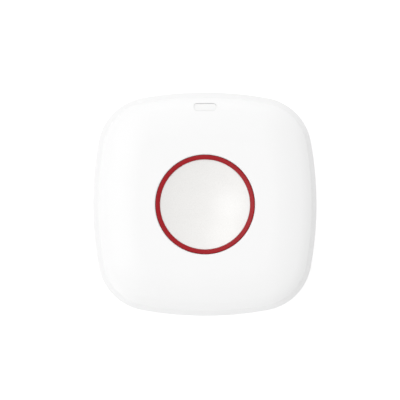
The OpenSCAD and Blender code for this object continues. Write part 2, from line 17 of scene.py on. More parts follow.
import bmesh
import bpy
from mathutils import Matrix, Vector

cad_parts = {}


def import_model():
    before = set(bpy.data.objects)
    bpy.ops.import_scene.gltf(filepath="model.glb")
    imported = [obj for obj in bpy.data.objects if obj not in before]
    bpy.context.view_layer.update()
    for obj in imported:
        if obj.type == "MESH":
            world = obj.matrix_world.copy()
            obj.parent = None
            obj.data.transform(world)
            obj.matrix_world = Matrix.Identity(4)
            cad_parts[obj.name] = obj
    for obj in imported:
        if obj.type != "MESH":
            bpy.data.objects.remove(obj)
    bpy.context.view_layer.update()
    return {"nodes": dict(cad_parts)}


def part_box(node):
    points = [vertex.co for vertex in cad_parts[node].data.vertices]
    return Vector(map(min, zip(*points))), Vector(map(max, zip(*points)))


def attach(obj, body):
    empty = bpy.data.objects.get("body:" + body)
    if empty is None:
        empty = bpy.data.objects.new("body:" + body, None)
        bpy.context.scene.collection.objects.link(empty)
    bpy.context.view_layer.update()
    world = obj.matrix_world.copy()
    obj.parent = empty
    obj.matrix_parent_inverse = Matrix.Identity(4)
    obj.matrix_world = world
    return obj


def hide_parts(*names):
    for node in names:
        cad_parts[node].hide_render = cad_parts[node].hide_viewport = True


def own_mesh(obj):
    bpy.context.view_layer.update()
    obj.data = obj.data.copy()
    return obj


LOG = logging.getLogger("panic_button")
MM = 0.001

Point2 = tuple[float, float]
Point3 = tuple[float, float, float]
Colour = tuple[float, float, float]
Ring = list[Point3]
Piece = bpy.types.Object
Socket = bpy.types.NodeSocket
Inputs = dict[str | int, object]

# Detail of the meshes.
AXIS_RADIUS = 1e-6
SMOOTH_ANGLE = math.radians(30)
FILLET_STEP = math.radians(15)
FILLET_LEAST = 2
SWEEP_STEP = 3.0
SWEEP_LEAST = 4
SUPPORT = 0.05
SUPPORT_FROM = 0.5
CIRCLE_STEPS = 128
COLUMN_STEPS = 64
EDGE_STEPS = 3

# How far a tool reaches past what it cuts, how far it laps over what it meets, and how far a
# section runs on along a flat.
THROUGH = 5.0
LAP = 0.3
RUN_ON = 1.0

# Sizes that several pieces share.
FINE_ROUND = 0.1
SOFT_ROUND = 0.2
WINDOW_INSET = 4.0
STRIP_T = 0.2
PART_CIRCLE_R = 18.4
ROW_COUNT = 6
ROW_STEP = 7.0
CAPACITOR_ANGLE = 280.0
RESISTOR_ANGLE = 100.0
THIRDS = (0, 120, 240)
KEY_ANGLES = (30, 150, 270)

ORIGIN = (0.0, 0.0)
CORNERS = ((1, 1), (-1, 1), (-1, -1), (1, -1))
WHITE = (1.0, 1.0, 1.0, 1.0)


class Body(Enum):
    """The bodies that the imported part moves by."""

    HOUSING = "housing"
    BUTTON = "button"
    STEM = "stem"
    PLATE = "plate"
    DOOR = "door"


class Slot(Enum):
    """The record's material slots."""

    SHELL = "shell"
    CAP = "cap"
    RING = "ring"
    LENS = "lens"
    SEAL = "seal"
    STEEL = "steel"
    CELL = "cell"
    CONTACT = "contact"
    BOARD = "board"
    DARK_PLASTIC = "dark_plastic"
    CERAMIC = "ceramic"


class Ends(Enum):
    """How a skin closes: its last ring joined to its first, or both end rings filled."""

    JOINED = "joined"
    FILLED = "filled"


class Carve(Enum):
    """What a tool does to the piece that it is set on."""

    CUT = "DIFFERENCE"
    ADD = "UNION"


class Sheet:
    """Adds and links the nodes of one node tree."""

    def __init__(self, tree: bpy.types.NodeTree) -> None:
        """Keeps the tree that the nodes go on."""
        self.tree = tree

    def node(self, kind: str, inputs: Inputs | None = None, **settings: object) -> bpy.types.Node:
        """Adds one node.

        Args:
            kind: Blender's name for the type of node.
            inputs: Values or output sockets for its inputs, by name or number.
            settings: Values of the node's own settings.

        Returns:
            The new node.
        """
        made = self.tree.nodes.new(kind)
        for name, value in settings.items():
            setattr(made, name, value)
        for name, value in (inputs or {}).items():
            if isinstance(value, Socket):
                self.tree.links.new(value, made.inputs[name])
            else:
                made.inputs[name].default_value = value
        return made

    def out(
        self, kind: str, inputs: Inputs | None = None, output: str | int = 0, **settings: object
    ) -> Socket:
        """Adds one node, as node() does, and returns one of its outputs, by name or number."""
        return self.node(kind, inputs, **settings).outputs[output]


def blank_material(name: str) -> tuple[bpy.types.Material, Sheet]:
    """Starts a material without nodes.

    Args:
        name: Name of the material.

    Returns:
        The material, and the empty sheet for its nodes.
    """
    made = bpy.data.materials.new(name)
    made.use_nodes = True
    made.node_tree.nodes.clear()
    return made, Sheet(made.node_tree)


@dataclass(frozen=True)
class Noise:
    """A kind of noise, and the part of its range that a finish uses."""

    detail: float
    roughness: float
    low: float
    high: float

    def over(self, sheet: Sheet, place: Socket, size: float) -> Socket:
        """Lays the noise over a place.

        Args:
            sheet: The sheet of the material.
            place: The coordinates that it lies on.
            size: Size of its patches.

        Returns:
            The noise.
        """
        return sheet.out("ShaderNodeTexNoise", {
            "Vector": place, "Scale": 1 / (size * MM), "Detail": self.detail,
            "Roughness": self.roughness,
        }, "Fac")


GRAIN = Noise(detail=2.0, roughness=0.55, low=0.3, high=0.7)
MOTTLE = Noise(detail=4.0, roughness=0.6, low=0.35, high=0.65)


@dataclass(frozen=True)
class Finish:
    """A moulded finish: a colour with slow mottling, a range of roughness and a fine grain."""

    name: str
    slot: Slot
    colour: Colour
    shade: Colour
    roughness: Point2
    mottle: float = 9.0
    grain: float = 0.25
    relief: float = 0.0015
    metallic: float = 0.0
    ior: float = 1.48
    stretch: Point3 = (1.0, 1.0, 1.0)

    def material(self) -> bpy.types.Material:
        """Returns this finish's material, made on its first use."""
        return bpy.data.materials.get(self.name) or self._make()

    def _make(self) -> bpy.types.Material:
        """Builds the nodes of the finish.

        Returns:
            The new material.
        """
        made, sheet = blank_material(self.name)
        place = sheet.out("ShaderNodeTexCoord", output="Object")
        lie = sheet.out("ShaderNodeMapping", {"Vector": place, "Scale": self.stretch})
        grain = GRAIN.over(sheet, lie, self.grain)
        smoothest, roughest = self.roughness
        rough = sheet.out("ShaderNodeMapRange", {
            "Value": grain, "From Min": GRAIN.low, "From Max": GRAIN.high,
            "To Min": smoothest, "To Max": roughest,
        })
        bump = sheet.out("ShaderNodeBump", {
            "Height": grain, "Distance": self.relief * MM, "Strength": 1.0,
        })
        shader = sheet.node("ShaderNodeBsdfPrincipled", {
            "Base Color": self._tint(sheet, place), "Roughness": rough, "Normal": bump,
            "Metallic": self.metallic, "IOR": self.ior,
        })
        self._extra(shader)
        sheet.node("ShaderNodeOutputMaterial", {"Surface": shader.outputs["BSDF"]})
        made.diffuse_color = (*self.colour, 1.0)
        return made

    def _tint(self, sheet: Sheet, place: Socket) -> Socket:
        """Lets the colour drift slowly from the base to the shade.

        Args:
            sheet: The sheet of the material.
            place: The coordinates that the colour lies on.

        Returns:
            The colour.
        """
        ramp = sheet.node("ShaderNodeValToRGB", {"Fac": MOTTLE.over(sheet, place, self.mottle)})
        low, high = ramp.color_ramp.elements
        low.position, high.position = MOTTLE.low, MOTTLE.high
        low.color, high.color = (*self.colour, 1.0), (*self.shade, 1.0)
        return ramp.outputs["Color"]

    def _extra(self, shader: bpy.types.Node) -> None:
        """Sets what only some finishes have. This one has nothing more."""


@dataclass(frozen=True)
class MilkyFinish(Finish):
    """A finish that lets a little light in, as a diffusing lens does."""

    depth: float = 0.8
    weight: float = 0.35
    spread: Colour = (1.0, 0.95, 0.9)

    def _extra(self, shader: bpy.types.Node) -> None:
        """Lets light spread below the surface.

        Args:
            shader: The finish's shader.
        """
        shader.inputs["Subsurface Weight"].default_value = self.weight
        shader.inputs["Subsurface Radius"].default_value = self.spread
        shader.inputs["Subsurface Scale"].default_value = self.depth * MM


SHELL_WHITE = Finish(
    "shell_white", Slot.SHELL, (0.926, 0.926, 0.926), (0.921, 0.921, 0.921), (0.40, 0.50),
)
CAP_WHITE = Finish(
    "cap_white", Slot.CAP, (0.885, 0.878, 0.862), (0.87, 0.863, 0.848), (0.24, 0.32), mottle=6.0,
)
RING_RED = Finish(
    "ring_red", Slot.RING, (0.36, 0.005, 0.011), (0.34, 0.004, 0.01), (0.28, 0.38), mottle=4.0,
    ior=1.34,
)
LENS_MILK = MilkyFinish(
    "lens_milk", Slot.LENS, (0.862, 0.862, 0.86), (0.854, 0.854, 0.852), (0.18, 0.28), mottle=3.0,
)
SEAL_RUBBER = Finish(
    "seal_rubber", Slot.SEAL, (0.028, 0.028, 0.031), (0.04, 0.04, 0.043), (0.7, 0.9), grain=0.15,
)
BRIGHT_STEEL = Finish(
    "bright_steel", Slot.STEEL, (0.60, 0.605, 0.61), (0.52, 0.525, 0.53), (0.22, 0.38), mottle=1.5,
    grain=0.1, metallic=1.0, stretch=(1.0, 1.0, 0.15),
)
CELL_STEEL = Finish(
    "cell_steel", Slot.CELL, (0.68, 0.68, 0.66), (0.60, 0.60, 0.585), (0.18, 0.34), mottle=5.0,
    grain=0.12, metallic=1.0, stretch=(0.08, 1.0, 1.0),
)
SPRING_BRASS = Finish(
    "spring_brass", Slot.CONTACT, (0.70, 0.48, 0.17), (0.62, 0.41, 0.14), (0.2, 0.34), mottle=2.0,
    grain=0.12, metallic=1.0, stretch=(0.15, 1.0, 1.0),
)
BOARD_GREEN = Finish(
    "board_green", Slot.BOARD, (0.012, 0.085, 0.034), (0.015, 0.098, 0.04), (0.3, 0.42), mottle=1.6,
)
TRACK_GREEN = Finish(
    "track_green", Slot.BOARD, (0.03, 0.19, 0.075), (0.026, 0.17, 0.068), (0.26, 0.36), mottle=1.6,
)
DARK_PLASTIC = Finish(
    "dark_plastic", Slot.DARK_PLASTIC, (0.013, 0.013, 0.014), (0.02, 0.02, 0.021), (0.45, 0.6),
    grain=0.12,
)
CHIP_CERAMIC = Finish(
    "chip_ceramic", Slot.CERAMIC, (0.34, 0.22, 0.11), (0.29, 0.18, 0.09), (0.5, 0.65), mottle=0.5,
)


@dataclass(frozen=True)
class NodeBox:
    """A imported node's box, in millimetres."""

    low: Vector
    high: Vector

    @classmethod
    def of(cls, node: str) -> NodeBox:
        """Reads the box of a node from the frame."""
        low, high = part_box(node)
        return cls(Vector(low) / MM, Vector(high) / MM)

    @property
    def middle(self) -> Vector:
        """The middle of the box."""
        return (self.low + self.high) / 2

    @property
    def reach(self) -> float:
        """The box's furthest reach along +X, the radius of a turned piece."""
        return self.high.x

    @property
    def height(self) -> float:
        """The box's size along Z."""
        return self.high.z - self.low.z


@dataclass(frozen=True)
class Corner:
    """A corner of a section, and the radius that rounds it."""

    across: float
    z: float
    radius: float = 0.0


def rotate(point: Sequence[float], radians: float) -> Point2:
    """Turns a point about the origin.

    Args:
        point: Its X and Y.
        radians: The angle, counter-clockwise.

    Returns:
        Where the point comes to lie.
    """
    x, y = point
    cos, sin = math.cos(radians), math.sin(radians)
    return (x * cos - y * sin, x * sin + y * cos)


def turn(point: Point2, degrees: float) -> Point2:
    """Turns a point about the origin, by degrees."""
    return rotate(point, math.radians(degrees))


def polar(radius: float, degrees: float) -> Point2:
    """Returns the point at a radius and an angle."""
    return turn((radius, 0.0), degrees)


def rectangle(x: Point2, y: Point2) -> tuple[Point2, ...]:
    """Returns the corners of a rectangle between two places on each axis."""
    return ((x[0], y[0]), (x[1], y[0]), (x[1], y[1]), (x[0], y[1]))


def round_oblong(
    width: float, height: float, radius: float, centre: Point2, steps: int = 8
) -> list[Point2]:
    """Returns the outline of a rectangle with round corners.

    Args:
        width: Size along X.
        height: Size along Y.
        radius: Radius of its corners.
        centre: Its middle.
        steps: Points on each corner.

    Returns:
        Its points, counter-clockwise.
    """
    points = []
    for quarter, (sx, sy) in enumerate(CORNERS):
        x, y = centre[0] + sx * (width / 2 - radius), centre[1] + sy * (height / 2 - radius)
        for i in range(steps + 1):
            a = math.radians(90 * (quarter + i / steps))
            points.append((x + radius * math.cos(a), y + radius * math.sin(a)))
    return points


def circle(radius: float, z: float, centre: Point2 = ORIGIN, steps: int = CIRCLE_STEPS) -> Ring:
    """Draws a level circle.

    Args:
        radius: Its radius.
        z: Its height.
        centre: Its middle.
        steps: How many points it has.

    Returns:
        Its points, or its middle alone if it has no radius.
    """
    if radius < AXIS_RADIUS:
        return [(*centre, z)]
    x, y = centre
    turns = [math.tau * i / steps for i in range(steps)]
    return [(x + radius * math.cos(a), y + radius * math.sin(a), z) for a in turns]


def circle_facing(ring: Ring, radius: float, z: float) -> Ring:
    """Returns a circle about the origin whose points face the points of a ring."""
    reaches = [math.hypot(x, y) for x, y, _ in ring]
    return [(radius * x / d, radius * y / d, z) for (x, y, _), d in zip(ring, reaches)]


def fillet(before: Vector, corner: Vector, after: Vector, radius: float) -> list[Vector]:
    """Rounds one corner of a path.

    Args:
        before: The point before the corner.
        corner: The corner.
        after: The point after the corner.
        radius: Radius of the round.

    Returns:
        The points of the arc that takes the corner's place.
    """
    back, on = (before - corner).normalized(), (after - corner).normalized()
    half = back.angle(on) / 2
    reach = radius / math.tan(half)
    centre = corner + (back + on).normalized() * radius / math.sin(half)
    start = corner + back * reach - centre
    span = start.angle_signed(corner + on * reach - centre)
    steps = max(FILLET_LEAST, math.ceil(abs(span) / FILLET_STEP))
    return [centre + Vector(rotate(start, -span * i / steps)) for i in range(steps + 1)]


def section_path(corners: Sequence[Corner], closed: bool = False) -> list[Point2]:
    """Follows a section's corners, with round corners and support points beside long straights.

    Args:
        corners: The corners, in order.
        closed: Whether the last corner leads on to the first.

    Returns:
        The points of the section.
    """
    places = [Vector((c.across, c.z)) for c in corners]
    last = len(corners) - 1
    path: list[Vector] = []
    for i, corner in enumerate(corners):
        if corner.radius > 0 and (closed or 0 < i < last):
            after = places[(i + 1) % len(places)]
            path += fillet(places[i - 1], places[i], after, corner.radius)
        else:
            path.append(places[i])
    supported: list[Vector] = []
    follow = path[1:] + (path[:1] if closed else [])
    for start, end in zip(path, follow):
        supported.append(start)
        if (end - start).length > SUPPORT_FROM:
            step = (end - start).normalized() * SUPPORT
            supported += [start + step, end - step]
    if not closed:
        supported.append(path[-1])
    return [(point.x, point.y) for point in supported]


def to_piece(name: str, draft: bmesh.types.BMesh) -> Piece:
    """Turns a drafted mesh into an object of the scene.

    Args:
        name: Name of the piece.
        draft: The mesh, which is freed.

    Returns:
        The new object, at the origin.
    """
    mesh = bpy.data.meshes.new(name)
    draft.to_mesh(mesh)
    draft.free()
    made = bpy.data.objects.new(name, mesh)
    bpy.context.scene.collection.objects.link(made)
    return made


def skin(name: str, rings: Sequence[Ring], ends: Ends = Ends.FILLED) -> Piece:
    """Lays a closed skin over rings of points.

    Args:
        name: Name of the piece.
        rings: Rings of equal length, or of a single point at a pole.
        ends: How the skin closes at its first and last ring.

    Returns:
        The new piece, with its faces pointing outwards.
    """
    draft = bmesh.new()
    rows = [[draft.verts.new(Vector(point) * MM) for point in ring] for ring in rings]
    if ends is Ends.JOINED:
        rows.append(rows[0])
    else:
        for row in (rows[0], rows[-1]):
            if len(row) > 1:
                draft.faces.new(row)
    for low, high in zip(rows, rows[1:]):
        for i in range(max(len(low), len(high))):
            j = i + 1
            below = (low[i % len(low)], low[j % len(low)])
            above = (high[j % len(high)], high[i % len(high)])
            draft.faces.new(list(dict.fromkeys((*below, *above))))
    bmesh.ops.recalc_face_normals(draft, faces=draft.faces[:])
    return to_piece(name, draft)


def turned(name: str, corners: Sequence[Corner], closed: bool) -> Piece:
    """Turns a section about the Z axis.

    Args:
        name: Name of the piece.
        corners: The section, as radius and height.
        closed: Whether the section closes on itself, or runs from the axis to the axis.

    Returns:
        The new piece.
    """
    rings = [circle(radius, z) for radius, z in section_path(corners, closed)]
    return skin(name, rings, Ends.JOINED if closed else Ends.FILLED)


def washer(name: str, radii: Point2, heights: Point2, edge: float) -> Piece:
    """Makes a flat ring about the Z axis with rounded edges.

    Args:
        name: Name of the piece.
        radii: Inner and outer radius.
        heights: Heights of its underside and top.
        edge: Radius that rounds its edges.

    Returns:
        The ring.
    """
    return turned(name, [Corner(*place, edge) for place in rectangle(radii, heights)], closed=True)


def column(
    radius: float, z_low: float, z_high: float, centre: Point2 = ORIGIN, top: float = 0.0
) -> Piece:
    """Makes an upright round tool.

    Args:
        radius: Radius at its foot.
        z_low: Height of its foot.
        z_high: Height of its top.
        centre: Where it stands.
        top: Radius at its top, if that differs.

    Returns:
        The tool.
    """
    ends = ((radius, z_low), (top or radius, z_high))
    return skin("column", [circle(r, z, centre, COLUMN_STEPS) for r, z in ends])


def swept(section: Sequence[Point2], middle: float, arc: float) -> Piece:
    """Sweeps a section along an arc about the Z axis.

    Args:
        section: The section's corners, as radius and height.
        middle: Angle of the arc's middle.
        arc: Angle that it spans.

    Returns:
        The swept block.
    """
    steps = max(SWEEP_LEAST, math.ceil(arc / SWEEP_STEP))
    angles = [middle + arc * (i / steps - 0.5) for i in range(steps + 1)]
    return skin("swept", [[(*polar(radius, a), z) for radius, z in section] for a in angles])


def arc_block(radii: Point2, heights: Point2, middle: float, arc: float) -> Piece:
    """Makes a block that follows an arc about the Z axis.

    Args:
        radii: Inner and outer radius.
        heights: Heights of its underside and top.
        middle: Angle of its middle.
        arc: Angle that it spans.

    Returns:
        The block.
    """
    return swept(rectangle(radii, heights), middle, arc)


def prism(outline: Sequence[Point2], z_low: float, z_high: float, degrees: float = 0.0) -> Piece:
    """Makes an upright tool between two heights.

    Args:
        outline: Its outline, seen from above.
        z_low: Height of its underside.
        z_high: Height of its top.
        degrees: Angle that the outline is turned by.

    Returns:
        The tool.
    """
    points = [turn(point, degrees) for point in outline]
    return skin("prism", [[(*point, z) for point in points] for z in (z_low, z_high)])


def strip(name: str, side: Sequence[Point2], width: float) -> Piece:
    """Draws a side view, as X and Z, out to a width along Y.

    Args:
        name: Name of the piece.
        side: The points of the side view.
        width: The piece's width.

    Returns:
        The strip.
    """
    return skin(name, [[(x, y, z) for x, z in side] for y in (-width / 2, width / 2)])


def pillow(
    name: str, size: Point2, heights: Point2, rounds: Point2, distance: float, degrees: float = 0.0
) -> Piece:
    """Makes a block with round corners and a rounded top edge.

    Args:
        name: Name of the piece.
        size: Its size along the way out from the Z axis, and across that.
        heights: Heights of its underside and top.
        rounds: Radius of its upright corners, and the smaller one of its top edge.
        distance: Distance of its middle from the Z axis.
        degrees: Angle that it stands at.

    Returns:
        The block.
    """
    (low, high), (corner_r, edge_r) = heights, rounds
    levels = [(0.0, low)]
    for i in range(EDGE_STEPS + 1):
        a = math.pi / 2 * i / EDGE_STEPS
        levels.append((edge_r * (1 - math.cos(a)), high - edge_r * (1 - math.sin(a))))
    rings = []
    for inset, z in levels:
        length, width = (side - 2 * inset for side in size)
        outline = round_oblong(length, width, corner_r - inset, (distance, 0.0), EDGE_STEPS)
        rings.append([(*turn(point, degrees), z) for point in outline])
    return skin(name, rings)


def merged(pieces: Sequence[Piece]) -> Piece:
    """Joins tools into one, so that a single step carves with all of them.

    Args:
        pieces: The tools, which are used up.

    Returns:
        The joined tool.
    """
    draft = bmesh.new()
    for piece in pieces:
        draft.from_mesh(piece.data)
        bpy.data.objects.remove(piece)
    return to_piece("tools", draft)


def settle(piece: Piece) -> None:
    """Turns what a piece's modifiers show into its plain mesh.

    Args:
        piece: The piece, which loses its modifiers.
    """
    graph = bpy.context.evaluated_depsgraph_get()
    plain = bpy.data.meshes.new_from_object(piece.evaluated_get(graph))
    piece.modifiers.clear()
    plain.name = piece.name
    piece.data = plain


def carve(piece: Piece, how: Carve, tools: Sequence[Piece]) -> None:
    """Cuts tools out of a piece, or adds them to it.

    Args:
        piece: The piece to carve.
        how: Whether the tools are cut or added.
        tools: The tools, which are used up. They don't overlap each other.
    """
    tool = merged(tools)
    step = piece.modifiers.new(how.name, "BOOLEAN")
    step.operation = how.value
    step.solver = "EXACT"
    step.object = tool
    settle(piece)
    bpy.data.objects.remove(tool)


def smooth(piece: Piece) -> None:
    """Shades a piece smoothly, apart from its sharp edges.

    Args:
        piece: The piece to shade.
    """
    mesh = piece.data
    mesh.polygons.foreach_set("use_smooth", [True] * len(mesh.polygons))
    mesh.set_sharp_from_angle(angle=SMOOTH_ANGLE)


def fit(piece: Piece, finish: Finish, node: str, body: Body = Body.HOUSING) -> None:
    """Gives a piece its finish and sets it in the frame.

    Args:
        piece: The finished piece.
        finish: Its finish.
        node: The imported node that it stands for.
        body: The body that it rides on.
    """
    smooth(piece)
    piece.data.materials.clear()
    piece.data.materials.append(finish.material())
    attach(piece, body.value)
    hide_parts(node)
    faces = len(piece.data.polygons)
    LOG.info("%s: %d faces, %s, rides on %s", piece.name, faces, finish.name, body.value)


def squash_with_button(piece: Piece) -> None:
    """Gives a fitted piece its own copy of its mesh.

    Args:
        piece: The piece.
    """
    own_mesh(piece)


@dataclass(frozen=True)
class BowedSquare:
    """The case's outline: four bowed sides joined by round corners."""

    half: float
    side_r: float = 93.7
    corner_r: float = 14.4
    side_steps: int = 32
    corner_steps: int = 32

    @property
    def side_c(self) -> float:
        """Where the centre of the +X side's arc lies on the X axis."""
        return self.half - self.side_r

    @property
    def corner_c(self) -> float:
        """The X and Y of the first corner's centre."""
        across = self.side_r - self.corner_r
        return (self.side_c + math.sqrt(2 * across**2 - self.side_c**2)) / 2

    @property
    def side_angle(self) -> float:
        """Half the angle that a side's arc spans."""
        return math.degrees(math.atan2(self.corner_c, self.corner_c - self.side_c))

    @property
    def diagonal(self) -> float:
        """How far a corner reaches from the middle."""
        return self.corner_c * math.sqrt(2) + self.corner_r

    def ring(self, inset: float, z: float) -> Ring:
        """Draws the outline at a height.

        Args:
            inset: How far it is drawn in on all sides.
            z: Its height.

        Returns:
            Its points, counter-clockwise.
        """
        side, corner = self.side_r - inset, self.corner_r - inset
        bow, bend = self.side_angle, 90 - 2 * self.side_angle
        quarter: list[Point2] = []
        for i in range(self.side_steps):
            x, y = polar(side, bow * (2 * i / self.side_steps - 1))
            quarter.append((self.side_c + x, y))
        for i in range(self.corner_steps):
            x, y = polar(corner, bow + bend * i / self.corner_steps)
            quarter.append((self.corner_c + x, self.corner_c + y))
        return [(*turn(point, 90 * q), z) for q in range(4) for point in quarter]


@dataclass(frozen=True)
class CasePosts:
    """Where the four case screws stand, and the sizes that both shells take from them."""

    outline: BowedSquare
    inset: float = 6.6
    first_angle: float = 45.0
    radius: float = 2.6
    screw_r: float = 1.0
    bore_slack: float = 0.02
    seat_z: float = 2.2

    @property
    def distance(self) -> float:
        """Distance of each post from the middle."""
        return self.outline.diagonal - self.inset

    @property
    def places(self) -> list[Point2]:
        """The four posts."""
        return [polar(self.distance, self.first_angle + 90 * i) for i in range(4)]


@dataclass(frozen=True)
class BoardMounts:
    """Where the three board screws stand."""

    distance: float = 23.6
    first_angle: float = 70.0
    board_low: float = 8.2
    board_top: float = 9.4

    @property
    def places(self) -> list[Point2]:
        """The three mounts."""
        return [polar(self.distance, self.first_angle + a) for a in THIRDS]


@dataclass(frozen=True)
class PlateHooks:
    """The wall plate's hooks, which the housing has slots for."""

    radius: float = 20.22
    neck: float = 1.2
    head: float = 2.4
    under_z: float = 4.3
    arc: float = 9.0


@dataclass(frozen=True)
class TurningArrow:
    """A curved arrow that shows which way a piece turns. Its head is sized in shaft widths."""

    radius: float
    start: float
    end: float
    width: float
    head_l: float = 2.6
    head_half_w: float = 1.6
    head_gap: float = 0.2

    def tools(self, z_low: float, z_high: float) -> list[Piece]:
        """Makes the tools that sink the arrow.

        Args:
            z_low: Height of their underside.
            z_high: Height of their top.

        Returns:
            The shaft and the head.
        """
        way = math.copysign(1.0, self.end - self.start)
        radii = (self.radius - self.width / 2, self.radius + self.width / 2)
        middle, arc = (self.start + self.end) / 2, abs(self.end - self.start)
        shaft = arc_block(radii, (z_low, z_high), middle, arc)
        tip = self.end + way * math.degrees(self.head_l * self.width / self.radius)
        base = self.end + way * self.head_gap
        flare = self.head_half_w * self.width
        head = [
            polar(self.radius - flare, base), polar(self.radius + flare, base),
            polar(self.radius, tip),
        ]
        return [shaft, prism(head, z_low, z_high)]


@dataclass(frozen=True)
class Bend:
    """An arc of a section, from its steep end to its gentle end. Slopes are in radians."""

    across: float
    z: float
    radius: float
    start: float
    end: float

    def at(self, slope: float, depth: float = 0.0) -> Corner:
        """Returns the point that has a slope, at a depth below the arc."""
        reach = self.radius - depth
        return Corner(self.across - reach * math.sin(slope), self.z + reach * math.cos(slope))


@dataclass(frozen=True)
class StatusWindow:
    """The slot in the cover's shoulder that the status light shows through, and its lens.

    The slope of the cover there is in radians.
    """

    lens: NodeBox
    led: NodeBox
    middle_y: float
    surface_z: float
    slope: float
    size: Point2 = (6.0, 2.0)
    corner_r: float = 0.85
    depth: float = 0.115
    tilt: float = 5.0
    draft: float = 24.0
    over: float = 1.0
    gap: float = 0.004
    edge: float = 0.01
    foot_h: float = 1.6
    foot_z: float = 10.5
    leg_w: float = 0.9

    def _outline(self, grow: float) -> list[Point2]:
        """Returns the window's outline, seen from the front, grown on all sides."""
        width, height = (side + 2 * grow for side in self.size)
        return round_oblong(width, height, self.corner_r + grow, (0.0, self.middle_y))

    def _ring(self, grow: float, lift: float) -> Ring:
        """Draws the outline on a plane a little steeper than the cover.

        Args:
            grow: How far it is grown on all sides.
            lift: How far it is lifted off.

        Returns:
            Its points.
        """
        lie = self.slope + math.radians(self.tilt)
        shift, fall = lift * math.sin(lie), math.tan(lie)
        z = self.surface_z + lift * math.cos(lie)
        return [(x, y + shift, z - fall * (y - self.middle_y)) for x, y in self._outline(grow)]

    def slot(self, z_low: float, z_high: float) -> Piece:
        """Returns the upright tool that cuts the slot through the cover."""
        return prism(self._outline(0.0), z_low, z_high)

    def pocket(self) -> Piece:
        """Returns the tool that opens the slot's edge along the cover's surface."""
        spread = (self.depth + self.over) * math.tan(math.radians(self.draft))
        return skin("pocket", [self._ring(0.0, -self.depth), self._ring(spread, self.over)])

    def build(self) -> None:
        """Builds the lens with its foot over the light source and its two legs."""
        knee = self.foot_z + LAP
        lens = skin("window_lens", [
            [(x, y, knee) for x, y in self._outline(-self.gap)],
            self._ring(-self.gap, -self.depth - self.edge),
            self._ring(-self.gap - self.edge, -self.depth),
        ])
        side = self.lens.high.x
        foot = rectangle((-side, side), (self.lens.low.y, self.lens.high.y))
        carve(lens, Carve.ADD, [prism(foot, self.foot_z, self.foot_z + self.foot_h)])
        half, depth = self.leg_w / 2 - self.gap, (self.led.low.y, self.led.high.y)
        carve(lens, Carve.ADD, [
            prism(rectangle((x - half, x + half), depth), self.lens.low.z, knee)
            for x in (-side + self.leg_w / 2, side - self.leg_w / 2)
        ])
        fit(lens, LENS_MILK, "light_pipe")


